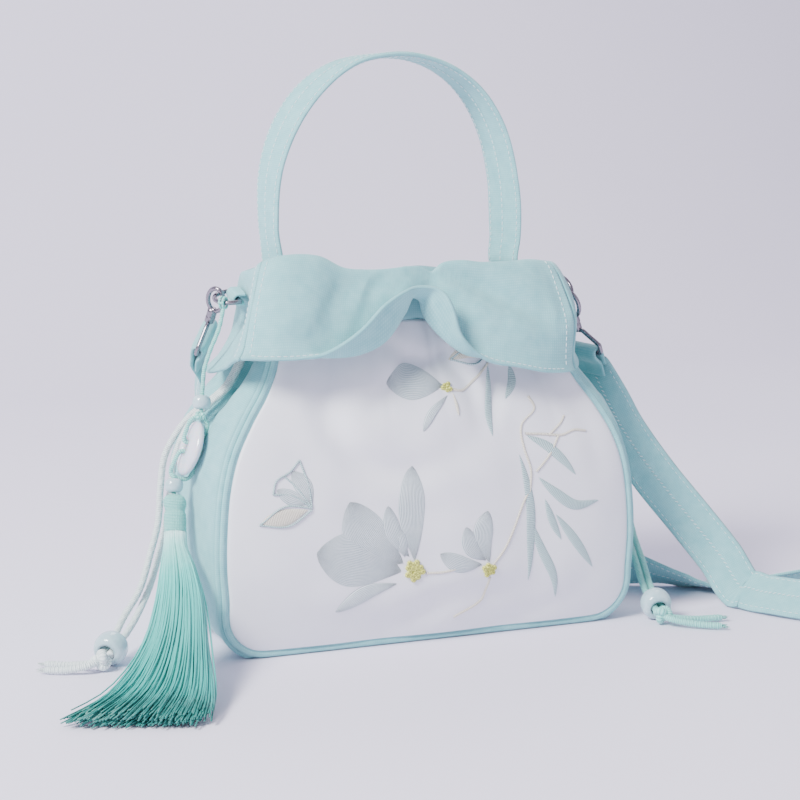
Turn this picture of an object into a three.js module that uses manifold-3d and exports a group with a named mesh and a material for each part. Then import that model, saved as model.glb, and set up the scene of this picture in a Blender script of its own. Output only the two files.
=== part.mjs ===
// Embroidered drawstring purse with a turned-down collar, a hand loop and a
// shoulder strap. Millimetres, +Z up, the front looks along -Y, and the origin
// is the middle of the flat base on the floor.
import * as THREE from 'three';
import { mergeVertices } from 'three/addons/utils/BufferGeometryUtils.js';
import Module from 'manifold-3d';

const wasm = await Module();
wasm.setup();

// Body sizes
const BODY_HALF_WIDTH = 108;
const BODY_HALF_DEPTH = 47.5;
const NECK_HEIGHT = 157;
const CORNER_RADIUS = 20;
const CLOTH = 1.8;
const SEAT = 0.35;
const SEAM_SLACK = 0.35;
const PIPING_RADIUS = 1.4;
const PANEL_PUFF = 9;
const PANEL_FOLD = 2.6;
const GUSSET_PUFF = 7;
const GUSSET_VALLEY = 15;

// Neck and collar sizes
const NECK_HALF_WIDTH = 75;
const NECK_HALF_DEPTH = 22;
const NECK_ROUNDNESS = 3.4;
const CASING_HEIGHT = 14;
const COLLAR_HALF_WIDTH = 82;
const COLLAR_HALF_DEPTH = 30;
const COLLAR_RISE = 19;
const BACK_DIP = 6;
const COLLAR_EASE = 0.4;
const COLLAR_DROP = 60;
const HEM_HALF_WIDTH = 102;
const HEM_HALF_DEPTH = 55;
const COLLAR_BELLY = 5;

// Handle and shoulder strap sizes
const HANDLE_HALF_SPAN = 72;
const HANDLE_RISE = 117;
const HANDLE_WIDTH = 22;
const HANDLE_THICKNESS = 2.6;
const STRAP_WIDTH = 25;
const STRAP_THICKNESS = 2.4;

// Metal sizes
const RING_WIRE = 1.15;
const RING_INNER_WIDTH = 15;
const RING_INNER_DEPTH = 8;
const RING_HEIGHT = 169;
const TAB_WIDTH = 12.4;
const HOOK_WIRE = 1.2;
const HOOK_LENGTH = 31;
const HOOK_EYE_HALF_WIDTH = 4.6;
const HOOK_EYE_HALF_LENGTH = 7;
const HOOK_BARREL = 2.5;
const HOOK_FRAME_RISE = 12;

// Cord, bead and tassel sizes
const CORD_RADIUS = 1.75;
const CORD_BEAD_RADIUS = 8;
const CORD_BEAD_HALF_HEIGHT = 5.4;
const CORD_BEAD_BORE = 4.1;
const KNOT_RADIUS = 5.2;
const THREAD_RADIUS = 1.1;
const THREAD_KNOT_RADIUS = 2.6;
const ROUND_BEAD_RADIUS = 4.5;
const ROUND_BEAD_HALF_HEIGHT = 3.3;
const RING_STONE_RADIUS = 13.5;
const RING_STONE_BORE = 3.8;
const RING_STONE_HALF_HEIGHT = 3;
const TASSEL_HEIGHT = 77;
const TASSEL_HALF_SPREAD = 30;
const TASSEL_LOCKS = 10;

const AQUA = 0xb5d6dc;
const SATIN = 0xe9eaf3;
const METAL = 0x9a949d;
const PALE_CORD = 0xe3f1ef;
const MINT_CORD = 0x9fd8cc;
const BEAD = 0xb7d3da;
const JADE = 0xdce0ee;
const TASSEL = 0x4fc2b1;

const CASING_TOP = NECK_HEIGHT + SEAT + CASING_HEIGHT;
const COLLAR_TOP = CASING_TOP + COLLAR_RISE;
const UP = new THREE.Vector3(0, 0, 1);
const vec = (x, y, z) => new THREE.Vector3(x, y, z);

// Reads one column of a table by a rising key, as a smooth curve
function follow(rows, key, column, at) {
  const last = rows.length - 1;
  let i = 0;
  while (i < last - 1 && at > rows[i + 1][key]) i += 1;
  const from = rows[i];
  const to = rows[i + 1];
  const before = rows[Math.max(i - 1, 0)];
  const after = rows[Math.min(i + 2, last)];
  const span = to[key] - from[key];
  const t = THREE.MathUtils.clamp((at - from[key]) / span, 0, 1);
  const slopeFrom = ((to[column] - before[column]) / (to[key] - before[key])) * span;
  const slopeTo = ((after[column] - from[column]) / (after[key] - from[key])) * span;
  const t2 = t * t;
  const t3 = t2 * t;
  return (2 * t3 - 3 * t2 + 1) * from[column] + (t3 - 2 * t2 + t) * slopeFrom
    + (3 * t2 - 2 * t3) * to[column] + (t3 - t2) * slopeTo;
}

// Turns the faces of a closed mesh outward
function outward(geometry) {
  const closed = geometry.index ? geometry : mergeVertices(bare(geometry), 1e-4);
  const index = Array.from(closed.index.array);
  const place = closed.attributes.position;
  let volume = 0;
  for (let i = 0; i < index.length; i += 3) {
    const [a, b, c] = [0, 1, 2].map((k) => vec().fromBufferAttribute(place, index[i + k]));
    volume += a.dot(b.cross(c));
  }
  if (volume < 0) {
    for (let i = 0; i < index.length; i += 3) {
      [index[i], index[i + 1]] = [index[i + 1], index[i]];
    }
    closed.setIndex(index);
  }
  return closed;
}

function bare(geometry) {
  geometry.deleteAttribute('normal');
  geometry.deleteAttribute('uv');
  return geometry;
}

// Makes a closed wall of one thickness under a surface given by two shares.
// Runs says that the surface goes on past both ends, so that joins stay square
function wall(surface, across, up, thickness, { closed = false, runs = closed } = {}) {
  const columns = closed ? across : across + 1;
  const rows = up + 1;
  const face = [];
  const under = [];
  const at = (i, j) => (closed ? (i + columns) % columns : i) + j * columns;
  const step = 0.25;
  for (let j = 0; j < rows; j += 1) {
    for (let i = 0; i < columns; i += 1) {
      const point = surface(i / across, j / up);
      const west = surface((runs ? i - step : Math.max(i - step, 0)) / across, j / up);
      const east = surface((runs ? i + step : Math.min(i + step, across)) / across, j / up);
      const south = surface(i / across, Math.max(j - step, 0) / up);
      const north = surface(i / across, Math.min(j + step, up) / up);
      const normal = east.sub(west).cross(north.sub(south)).normalize();
      face.push(point);
      under.push(point.clone().addScaledVector(normal, -thickness));
    }
  }
  const count = face.length;
  const index = [];
  const quad = (a, b, c, d) => index.push(a, b, c, a, c, d);
  for (let j = 0; j < up; j += 1) {
    for (let i = 0; i < across; i += 1) {
      const [a, b, c, d] = [at(i, j), at(i + 1, j), at(i + 1, j + 1), at(i, j + 1)];
      quad(a, b, c, d);
      quad(count + d, count + c, count + b, count + a);
    }
  }
  for (let i = 0; i < across; i += 1) {
    quad(at(i + 1, 0), at(i, 0), count + at(i, 0), count + at(i + 1, 0));
    quad(at(i, up), at(i + 1, up), count + at(i + 1, up), count + at(i, up));
  }
  for (let j = 0; !closed && j < up; j += 1) {
    quad(at(0, j), at(0, j + 1), count + at(0, j + 1), count + at(0, j));
    quad(at(across, j + 1), at(across, j), count + at(across, j), count + at(across, j + 1));
  }
  const geometry = new THREE.BufferGeometry();
  const place = [...face, ...under].flatMap((point) => point.toArray());
  geometry.setAttribute('position', new THREE.Float32BufferAttribute(place, 3));
  geometry.setIndex(index);
  return outward(geometry);
}

// Joins loops of equal point counts into one solid, capped or closed on itself
function skin(loops, ring = false) {
  const sides = loops[0].length;
  const index = [];
  const spans = ring ? loops.length : loops.length - 1;
  for (let j = 0; j < spans; j += 1) {
    for (let i = 0; i < sides; i += 1) {
      const k = (i + 1) % sides;
      const [low, high] = [j * sides, ((j + 1) % loops.length) * sides];
      index.push(low + i, low + k, high + k, low + i, high + k, high + i);
    }
  }
  const end = (loops.length - 1) * sides;
  for (let i = 1; !ring && i < sides - 1; i += 1) {
    index.push(0, i + 1, i, end, end + i, end + i + 1);
  }
  const geometry = new THREE.BufferGeometry();
  const place = loops.flat().flatMap((point) => point.toArray());
  geometry.setAttribute('position', new THREE.Float32BufferAttribute(place, 3));
  geometry.setIndex(index);
  return outward(geometry);
}

// Sweeps a round section along a free curve
function tube(curve, radius, steps, sides) {
  const section = new THREE.Shape();
  section.absarc(0, 0, radius, 0, Math.PI * 2);
  const outline = new THREE.Shape(section.getSpacedPoints(sides).slice(0, sides));
  return outward(new THREE.ExtrudeGeometry(outline, { steps, extrudePath: curve }));
}

// Sweeps a round wire around a flat closed line of points
function wireLoop(points, facing, radius, sides) {
  const count = points.length;
  const loops = points.map((point, i) => {
    const along = points[(i + 1) % count].clone().sub(points[(i + count - 1) % count]).normalize();
    const side = along.clone().cross(facing).normalize();
    return Array.from({ length: sides }, (_, k) => {
      const turn = (k / sides) * Math.PI * 2;
      return point.clone().addScaledVector(side, Math.cos(turn) * radius)
        .addScaledVector(facing, Math.sin(turn) * radius);
    });
  });
  return skin(loops, true);
}

// Width and thickness directions of a band at one of its stations
function bandFrame(stations, i) {
  const ahead = stations[Math.min(i + 1, stations.length - 1)].centre;
  const behind = stations[Math.max(i - 1, 0)].centre;
  const along = ahead.clone().sub(behind).normalize();
  const wide = stations[i].wide.clone().addScaledVector(along, -stations[i].wide.dot(along)).normalize();
  return { wide, thick: along.clone().cross(wide) };
}

// Sweeps a flat band along stations of a centre and a width direction
function band(stations, width, thickness) {
  return skin(stations.map((station, i) => {
    const { wide, thick } = bandFrame(stations, i);
    return [[-1, -1], [1, -1], [1, 1], [-1, 1]].map(([a, b]) => station.centre.clone()
      .addScaledVector(wide, (a * width) / 2).addScaledVector(thick, (b * thickness) / 2));
  }));
}

// Joins closed meshes that cross into one solid
function fuse(geometries) {
  const solids = geometries.map((geometry) => {
    const whole = mergeVertices(bare(geometry), 1e-4);
    return new wasm.Manifold(new wasm.Mesh({
      numProp: 3,
      vertProperties: new Float32Array(whole.attributes.position.array),
      triVerts: new Uint32Array(whole.index.array),
    }));
  });
  const mesh = solids.reduce((sum, solid) => sum.add(solid)).getMesh();
  const geometry = new THREE.BufferGeometry();
  geometry.setAttribute('position', new THREE.Float32BufferAttribute(mesh.vertProperties, 3));
  geometry.setIndex(Array.from(mesh.triVerts));
  return geometry;
}

const group = new THREE.Group();
group.name = 'embroidered_purse';

function add(name, geometry, colour, roughness = 0.8, metalness = 0, place = vec(), turn = null) {
  const material = new THREE.MeshStandardMaterial({ color: colour, roughness, metalness });
  const mesh = new THREE.Mesh(geometry, material);
  mesh.name = name;
  mesh.position.copy(place);
  if (turn) mesh.quaternion.copy(turn);
  group.add(mesh);
}

// Side outline above the corner: height as a share of the neck height, reach
// of the half width and seam depth of the half depth
const SIDE_ROWS = [
  { up: 0.00, out: 0.740, deep: 0.95 },
  { up: 0.18, out: 0.991, deep: 1.00 },
  { up: 0.29, out: 1.000, deep: 1.00 },
  { up: 0.40, out: 0.995, deep: 0.99 },
  { up: 0.53, out: 0.972, deep: 0.96 },
  { up: 0.63, out: 0.926, deep: 0.90 },
  { up: 0.72, out: 0.852, deep: 0.82 },
  { up: 0.81, out: 0.762, deep: 0.72 },
  { up: 0.90, out: 0.703, deep: 0.62 },
  { up: 1.00, out: 0.685, deep: 0.50 },
];
const SEAM_FLOOR = PIPING_RADIUS + SEAT;

function seamDepth(z) {
  return BODY_HALF_DEPTH * follow(SIDE_ROWS, 'up', 'deep', z / NECK_HEIGHT);
}

// Half of the seam seen from the front, from the middle of the base to the neck
const cornerX = BODY_HALF_WIDTH * SIDE_ROWS[1].out - CORNER_RADIUS;
const halfSeam = [vec(0, 0, SEAM_FLOOR), vec(cornerX * 0.5, 0, SEAM_FLOOR), vec(cornerX * 0.92, 0, SEAM_FLOOR)];
for (let step = 0; step <= 5; step += 1) {
  const turn = (step / 5) * (Math.PI / 2);
  halfSeam.push(vec(
    cornerX + CORNER_RADIUS * Math.sin(turn), 0,
    SEAM_FLOOR + CORNER_RADIUS * (1 - Math.cos(turn)),
  ));
}
SIDE_ROWS.filter((row) => row.up * NECK_HEIGHT > CORNER_RADIUS + 8).forEach((row) => {
  halfSeam.push(vec(BODY_HALF_WIDTH * row.out, 0, NECK_HEIGHT * row.up));
});
const seamCurve = new THREE.CatmullRomCurve3(halfSeam, false, 'centripetal');
const SEAM_LENGTH = seamCurve.getLength();
const BASE_SHARE = (cornerX * 0.98) / SEAM_LENGTH;

// The seam at a signed share, -1 at the left neck, 0 mid base, 1 right neck
function seam(share, inset = 0) {
  const reach = Math.min(Math.abs(share), 1);
  const point = seamCurve.getPointAt(reach);
  const along = seamCurve.getTangentAt(Math.min(Math.max(reach, 1e-4), 1 - 1e-4));
  const out = vec(along.z, 0, -along.x);
  point.addScaledVector(out, -inset);
  point.z = Math.max(point.z, SEAM_FLOOR + inset);
  const side = share < 0 ? -1 : 1;
  return { point: vec(point.x * side, 0, point.z), out: vec(out.x * side, 0, out.z) };
}

// Fullness by height: how far the panels and the gusset stand out, and how
// deep the crease down the middle of the gusset is
const FULL_ROWS = [
  { up: 0.00, panel: 0.00, gusset: 0.00, valley: 0.00 },
  { up: 0.08, panel: 0.55, gusset: 0.15, valley: 0.00 },
  { up: 0.22, panel: 0.95, gusset: 0.45, valley: 0.00 },
  { up: 0.45, panel: 1.00, gusset: 0.65, valley: 0.08 },
  { up: 0.66, panel: 0.80, gusset: 1.00, valley: 0.55 },
  { up: 0.80, panel: 0.60, gusset: 0.75, valley: 1.00 },
  { up: 0.92, panel: 0.35, gusset: 0.35, valley: 0.80 },
  { up: 1.00, panel: 0.15, gusset: 0.10, valley: 0.25 },
];

// Soft folds that run down from the gathered neck of a panel: place and width
// are shares of the half width, reach and lean of the neck height
const FOLDS = [
  { place: -0.50, width: 0.07, depth: 1.00, foot: 0.50, lean: -0.16 },
  { place: -0.27, width: 0.06, depth: 0.75, foot: 0.62, lean: -0.06 },
  { place: -0.08, width: 0.05, depth: 0.90, foot: 0.70, lean: 0.00 },
  { place: 0.12, width: 0.06, depth: 0.80, foot: 0.66, lean: 0.08 },
  { place: 0.36, width: 0.06, depth: 0.90, foot: 0.58, lean: 0.14 },
  { place: 0.55, width: 0.06, depth: 0.70, foot: 0.55, lean: 0.18 },
];

function foldDepth(x, z) {
  const up = z / NECK_HEIGHT;
  return FOLDS.reduce((sum, fold) => {
    const fade = THREE.MathUtils.smoothstep(up, fold.foot, 1);
    const middle = BODY_HALF_WIDTH * (fold.place + fold.lean * (1 - up));
    const off = (x - middle) / (BODY_HALF_WIDTH * fold.width);
    return sum + PANEL_FOLD * fold.depth * fade * Math.exp(-off * off);
  }, 0);
}

// Cloth panels front and back, from the base seam up to the neck
function panelPoint(u, v, facing) {
  const share = BASE_SHARE + (1 - BASE_SHARE) * v;
  const edge = seam(share, PIPING_RADIUS + SEAT + SEAM_SLACK);
  const across = 2 * u - 1;
  const x = edge.point.x * across;
  const z = v === 1 ? NECK_HEIGHT : edge.point.z;
  const full = PANEL_PUFF * follow(FULL_ROWS, 'up', 'panel', z / NECK_HEIGHT);
  const crown = (1 - across * across) ** 0.7;
  const depth = seamDepth(z) + CLOTH / 2 + crown * (full - foldDepth(x, z));
  return vec(x, facing * depth, z);
}

add('front_panel', wall((u, v) => panelPoint(u, v, -1), 16, 16, CLOTH), SATIN, 0.45);
add('back_panel', wall((u, v) => panelPoint(1 - u, v, 1), 10, 12, CLOTH), SATIN, 0.45);

// Gusset round both sides and the base, a little short of the neck
const GUSSET_REACH = 0.985;

function gussetPoint(u, v) {
  const share = GUSSET_REACH * (2 * u - 1);
  const edge = seam(share);
  const across = 2 * v - 1;
  const up = edge.point.z / NECK_HEIGHT;
  const side = THREE.MathUtils.smoothstep(Math.abs(share), BASE_SHARE, BASE_SHARE + 0.2);
  const puff = GUSSET_PUFF * follow(FULL_ROWS, 'up', 'gusset', up) * (1 - across ** 4);
  const valley = GUSSET_VALLEY * follow(FULL_ROWS, 'up', 'valley', up) * Math.exp(-((across / 0.38) ** 2));
  const half = seamDepth(edge.point.z) - PIPING_RADIUS - SEAT - SEAM_SLACK;
  const point = edge.point.clone().addScaledVector(edge.out, SEAM_FLOOR + side * (CLOTH + puff - valley));
  return vec(point.x, half * across, Math.max(point.z, 0));
}

add('gusset', wall((u, v) => gussetPoint(u, 1 - v), 44, 6, CLOTH), AQUA);

// Piping along both panel seams
for (const [name, facing] of [['front_piping', -1], ['back_piping', 1]]) {
  const points = Array.from({ length: 49 }, (_, i) => {
    const at = seam((i / 24 - 1) * 0.999).point;
    return vec(at.x, facing * seamDepth(at.z), at.z);
  });
  add(name, tube(new THREE.CatmullRomCurve3(points), PIPING_RADIUS, 44, 6), AQUA);
}

// Rim of the neck: a rounded slot
function neckRim(turn, grow = 0) {
  const power = 2 / NECK_ROUNDNESS;
  const [c, s] = [Math.cos(turn), Math.sin(turn)];
  return vec(
    (NECK_HALF_WIDTH + grow) * Math.sign(c) * Math.abs(c) ** power,
    (NECK_HALF_DEPTH + grow) * Math.sign(s) * Math.abs(s) ** power,
    0,
  );
}

// Casing that the drawstrings run in
add('drawstring_casing', wall((u, v) => {
  const point = neckRim(-u * Math.PI * 2, CLOTH);
  return point.setZ(CASING_TOP - CASING_HEIGHT * v);
}, 32, 2, CLOTH, { closed: true }), AQUA);

// Collar stations round the neck, clockwise from the middle of the left side.
// Crest, fold and rim are the profile's high roll, lowest turn and free edge:
// x and y as shares of the half sizes, height as a share of the drop
const COLLAR_ROWS = [
  { x: -1.00, y: 0.00, top: 0.15, foldX: -0.955, foldY: 0.00, fold: 0.88, rimX: -1.000, rimY: 0.00, rim: 0.94, belly: -2.0 },
  { x: -0.99, y: 0.42, top: 0.12, foldX: -0.945, foldY: 0.37, fold: 0.84, rimX: -0.980, rimY: 0.42, rim: 0.88, belly: -1.2 },
  { x: -0.97, y: 0.76, top: 0.05, foldX: -0.930, foldY: 0.73, fold: 0.73, rimX: -0.955, rimY: 0.79, rim: 0.77, belly: 0.2 },
  { x: -0.85, y: 0.94, top: 0.00, foldX: -0.825, foldY: 0.87, fold: 0.72, rimX: -0.845, rimY: 0.90, rim: 0.78, belly: 0.8 },
  { x: -0.65, y: 0.95, top: 0.01, foldX: -0.680, foldY: 0.92, fold: 0.72, rimX: -0.690, rimY: 0.95, rim: 0.78, belly: 1.0 },
  { x: -0.49, y: 0.94, top: 0.11, foldX: -0.545, foldY: 0.91, fold: 0.76, rimX: -0.560, rimY: 0.98, rim: 0.72, belly: 0.7 },
  { x: -0.35, y: 0.93, top: 0.13, foldX: -0.385, foldY: 0.87, fold: 0.75, rimX: -0.415, rimY: 1.00, rim: 0.57, belly: 0.5 },
  { x: -0.24, y: 0.93, top: 0.13, foldX: -0.260, foldY: 0.82, fold: 0.67, rimX: -0.285, rimY: 0.95, rim: 0.38, belly: 0.3 },
  { x: -0.15, y: 0.93, top: 0.12, foldX: -0.145, foldY: 0.74, fold: 0.46, rimX: -0.165, rimY: 0.87, rim: 0.28, belly: 0.1 },
  { x: -0.09, y: 0.92, top: 0.11, foldX: -0.085, foldY: 0.67, fold: 0.33, rimX: -0.090, rimY: 0.81, rim: 0.25, belly: 0.0 },
  { x: 0.00, y: 0.92, top: 0.12, foldX: -0.030, foldY: 0.67, fold: 0.37, rimX: 0.002, rimY: 0.81, rim: 0.26, belly: 0.0 },
  { x: 0.07, y: 0.92, top: 0.16, foldX: -0.012, foldY: 0.71, fold: 0.50, rimX: 0.050, rimY: 0.85, rim: 0.31, belly: 0.1 },
  { x: 0.14, y: 0.93, top: 0.09, foldX: 0.050, foldY: 0.78, fold: 0.65, rimX: 0.082, rimY: 0.91, rim: 0.43, belly: 0.3 },
  { x: 0.26, y: 0.95, top: 0.07, foldX: 0.155, foldY: 0.87, fold: 0.79, rimX: 0.122, rimY: 0.95, rim: 0.66, belly: 0.6 },
  { x: 0.40, y: 0.95, top: 0.09, foldX: 0.275, foldY: 0.91, fold: 0.82, rimX: 0.262, rimY: 0.96, rim: 0.86, belly: 0.8 },
  { x: 0.56, y: 0.95, top: 0.09, foldX: 0.410, foldY: 0.93, fold: 0.86, rimX: 0.410, rimY: 0.96, rim: 0.92, belly: 1.0 },
  { x: 0.73, y: 0.90, top: 0.08, foldX: 0.565, foldY: 0.91, fold: 0.91, rimX: 0.568, rimY: 0.93, rim: 0.98, belly: 1.0 },
  { x: 0.87, y: 0.77, top: 0.10, foldX: 0.755, foldY: 0.76, fold: 0.92, rimX: 0.765, rimY: 0.78, rim: 0.99, belly: 1.7 },
  { x: 0.97, y: 0.42, top: 0.12, foldX: 0.840, foldY: 0.40, fold: 0.83, rimX: 0.860, rimY: 0.44, rim: 0.90, belly: 0.9 },
  { x: 1.00, y: 0.00, top: 0.14, foldX: 0.825, foldY: 0.00, fold: 0.68, rimX: 0.850, rimY: 0.00, rim: 0.75, belly: -0.4 },
];
// Where the strap hangs behind the left side, the collar lies in
const TUCKED_ROWS = [
  { x: -0.95, y: 0.52, top: 0.17, foldX: -0.820, foldY: 0.44, fold: 0.78, rimX: -0.835, rimY: 0.52, rim: 0.85, belly: 0.0 },
  { x: -0.88, y: 0.78, top: 0.16, foldX: -0.700, foldY: 0.69, fold: 0.72, rimX: -0.705, rimY: 0.74, rim: 0.77, belly: 0.2 },
  { x: -0.78, y: 0.93, top: 0.14, foldX: -0.620, foldY: 0.85, fold: 0.70, rimX: -0.630, rimY: 0.88, rim: 0.76, belly: 0.6 },
  { x: -0.63, y: 0.95, top: 0.14, foldX: -0.550, foldY: 0.90, fold: 0.71, rimX: -0.560, rimY: 0.93, rim: 0.77, belly: 0.8 },
];
const FRONT_COUNT = COLLAR_ROWS.length - 1;
const FRONT_SEAM_LEFT = 2;
const FRONT_SEAM_RIGHT = 17;

// Whole round of stations: the front as it is, the back as its mirror image
const backRows = COLLAR_ROWS.slice(1, FRONT_COUNT).map((row) => ({
  ...row, top: row.top + (BACK_DIP / COLLAR_DROP) * (1 - row.x ** 4),
}));
TUCKED_ROWS.forEach((row, i) => Object.assign(backRows[i], row));
const roundRows = [
  ...COLLAR_ROWS.map((row) => ({ ...row, facing: -1 })),
  ...backRows.reverse().map((row) => ({ ...row, facing: 1 })),
];
const ROUND = roundRows.length;
const profiles = roundRows.map((row) => {
  const crest = vec(
    COLLAR_HALF_WIDTH * row.x, row.facing * COLLAR_HALF_DEPTH * row.y,
    COLLAR_TOP - COLLAR_DROP * row.top,
  );
  const fold = vec(
    HEM_HALF_WIDTH * row.foldX, row.facing * HEM_HALF_DEPTH * row.foldY,
    COLLAR_TOP - COLLAR_DROP * row.fold,
  );
  const rim = vec(
    HEM_HALF_WIDTH * row.rimX, row.facing * HEM_HALF_DEPTH * row.rimY,
    COLLAR_TOP - COLLAR_DROP * row.rim,
  );
  const reach = Math.min(Math.abs(row.x), 1);
  const foot = vec(
    NECK_HALF_WIDTH * row.x,
    row.facing * NECK_HALF_DEPTH * (1 - reach ** NECK_ROUNDNESS) ** (1 / NECK_ROUNDNESS),
    CASING_TOP + SEAT + COLLAR_EASE,
  );
  const out = fold.clone().sub(foot).setZ(0).normalize();
  const belly = crest.clone().lerp(fold, 0.5).addScaledVector(out, COLLAR_BELLY * row.belly);
  const throat = foot.clone().setZ(THREE.MathUtils.lerp(foot.z, crest.z, 0.6));
  return [foot, throat, crest, belly, fold, rim];
});

// A point of the collar: place counts stations round, down runs neck to rim
function collarPoint(place, down) {
  const base = Math.floor(place);
  const t = place - base;
  const around = [0, 1, 2, 3, 4, 5].map((k) => {
    const [a, b, c, d] = [-1, 0, 1, 2].map((step) => profiles[(base + step + ROUND) % ROUND][k]);
    const curve = new THREE.CatmullRomCurve3([a, b, c, d], false, 'centripetal');
    return curve.getPoint((1 + t) / 3);
  });
  return new THREE.CatmullRomCurve3(around, false, 'centripetal').getPoint(down);
}

const COLLAR_PIECES = [
  { name: 'collar_front', from: FRONT_SEAM_LEFT, to: FRONT_SEAM_RIGHT, across: 24 },
  { name: 'collar_right', from: FRONT_SEAM_RIGHT, to: 2 * FRONT_COUNT - FRONT_SEAM_RIGHT, across: 6 },
  { name: 'collar_back', from: 2 * FRONT_COUNT - FRONT_SEAM_RIGHT, to: ROUND - FRONT_SEAM_LEFT, across: 18 },
  { name: 'collar_left', from: ROUND - FRONT_SEAM_LEFT, to: ROUND + FRONT_SEAM_LEFT, across: 6 },
];
const COLLAR_JOIN = 0.055;
for (const piece of COLLAR_PIECES) {
  const span = piece.to - piece.from - 2 * COLLAR_JOIN;
  const surface = (u, v) => collarPoint(piece.from + COLLAR_JOIN + span * u, 1 - v);
  add(piece.name, wall(surface, piece.across, 8, CLOTH, { runs: true }), AQUA);
}

// Hand loop: stations up one leg, over and down the other. Place is a share of
// the half span, rise of the handle's rise above the collar, turn in degrees
const HANDLE_ROWS = [
  { place: -0.988, rise: -0.12, turn: 0 },
  { place: -0.98, rise: -0.04, turn: 0 },
  { place: -0.93, rise: 0.08, turn: -8 },
  { place: -0.96, rise: 0.28, turn: -8 },
  { place: -0.94, rise: 0.50, turn: -14 },
  { place: -0.83, rise: 0.69, turn: -22 },
  { place: -0.65, rise: 0.84, turn: -26 },
  { place: -0.42, rise: 0.94, turn: -22 },
  { place: -0.16, rise: 0.98, turn: -10 },
  { place: 0.08, rise: 0.98, turn: -4 },
  { place: 0.33, rise: 0.93, turn: -10 },
  { place: 0.54, rise: 0.83, turn: -16 },
  { place: 0.70, rise: 0.67, turn: -20 },
  { place: 0.79, rise: 0.45, turn: -22 },
  { place: 0.81, rise: 0.22, turn: -22 },
  { place: 0.80, rise: 0.10, turn: -18 },
  { place: 0.90, rise: 0.02, turn: -8 },
  { place: 0.975, rise: -0.05, turn: 0 },
  { place: 0.988, rise: -0.12, turn: 0 },
];

function bandStations(rows, place, steps) {
  const centres = new THREE.CatmullRomCurve3(rows.map((row) => place(row).centre));
  const widths = new THREE.CatmullRomCurve3(rows.map((row) => place(row).wide));
  return Array.from({ length: steps + 1 }, (_, i) => ({
    centre: centres.getPoint(i / steps),
    wide: widths.getPoint(i / steps).normalize(),
  }));
}

const handleStations = bandStations(HANDLE_ROWS, (row) => ({
  centre: vec(HANDLE_HALF_SPAN * row.place, 0, CASING_TOP + HANDLE_RISE * row.rise),
  wide: vec(Math.sin((row.turn * Math.PI) / 180), Math.cos((row.turn * Math.PI) / 180), 0),
}), 34);
add('handle_strap', band(handleStations, HANDLE_WIDTH, HANDLE_THICKNESS), AQUA);

// Tab, ring and snap hook at each side. Roll turns the tab on the cloth, droop
// the ring in it. Grip is where the hook holds the ring, in degrees from its
// outermost point; hang and bar are the directions of the hook and of its bar
const SIDES = [
  {
    side: 'left', x: -1, station: ROUND, back: 4, roll: 14, droop: 8,
    grip: 50, hang: vec(-0.05, 0.66, -0.75), bar: vec(0.37, 0.93, 0.00),
  },
  {
    side: 'right', x: 1, station: FRONT_COUNT, back: 0, roll: 50, droop: 4,
    grip: -50, hang: vec(0.36, 0.16, -0.92), bar: vec(0.20, -0.95, 0.10),
  },
];
const TAB_HOLE = RING_WIRE + SEAT;
const TAB_OUTER = TAB_HOLE + CLOTH;
const CURL_RADIUS = HOOK_WIRE + SEAT + STRAP_THICKNESS / 2;
const RING_REACH = RING_INNER_DEPTH + RING_WIRE * 2;
const RING_HALF = RING_INNER_WIDTH / 2 + RING_WIRE;
const rad = (degrees) => (degrees * Math.PI) / 180;

// How far out the collar reaches where the tab of the ring is sewn on
function collarReach(station, above) {
  let reach = 0;
  for (let down = 0.4; down < 0.9; down += 0.02) {
    for (const aside of [-0.4, -0.2, 0, 0.2, 0.4]) {
      const point = collarPoint(station + aside, down);
      if (Math.abs(point.z - RING_HEIGHT) < above) reach = Math.max(reach, Math.abs(point.x));
    }
  }
  return reach;
}

// A point of the ring's bow, by its angle from the outermost point
function ringPoint({ x, centre, tilt }, degrees) {
  const reach = RING_REACH * Math.cos(rad(degrees)) ** 0.8;
  return vec(x * reach, RING_HALF * Math.sin(rad(degrees)), 0).applyQuaternion(tilt).add(centre);
}

// Points of an oval or of a frame in the plane of two directions
function outlineIn(centre, aside, along, shape) {
  return shape.map(([a, b]) => centre.clone().addScaledVector(aside, a).addScaledVector(along, b));
}

function oval(halfWidth, halfLength, count) {
  return Array.from({ length: count }, (_, i) => [
    halfWidth * Math.cos((i / count) * Math.PI * 2),
    halfLength * Math.sin((i / count) * Math.PI * 2),
  ]);
}

// Half outline of the hook's frame, widest at the bar that holds the strap
function frameShape(half) {
  const side = [[half - HOOK_WIRE, 0], [half, -HOOK_WIRE], [half, -CURL_RADIUS * 1.8], [HOOK_BARREL * 1.5, -HOOK_FRAME_RISE]];
  return [...side, ...side.map(([a, b]) => [-a, b]).reverse()];
}

// A rod between two points
function rod(from, to, radius, sides) {
  return tube(new THREE.LineCurve3(from, to), radius, 1, sides);
}

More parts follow.
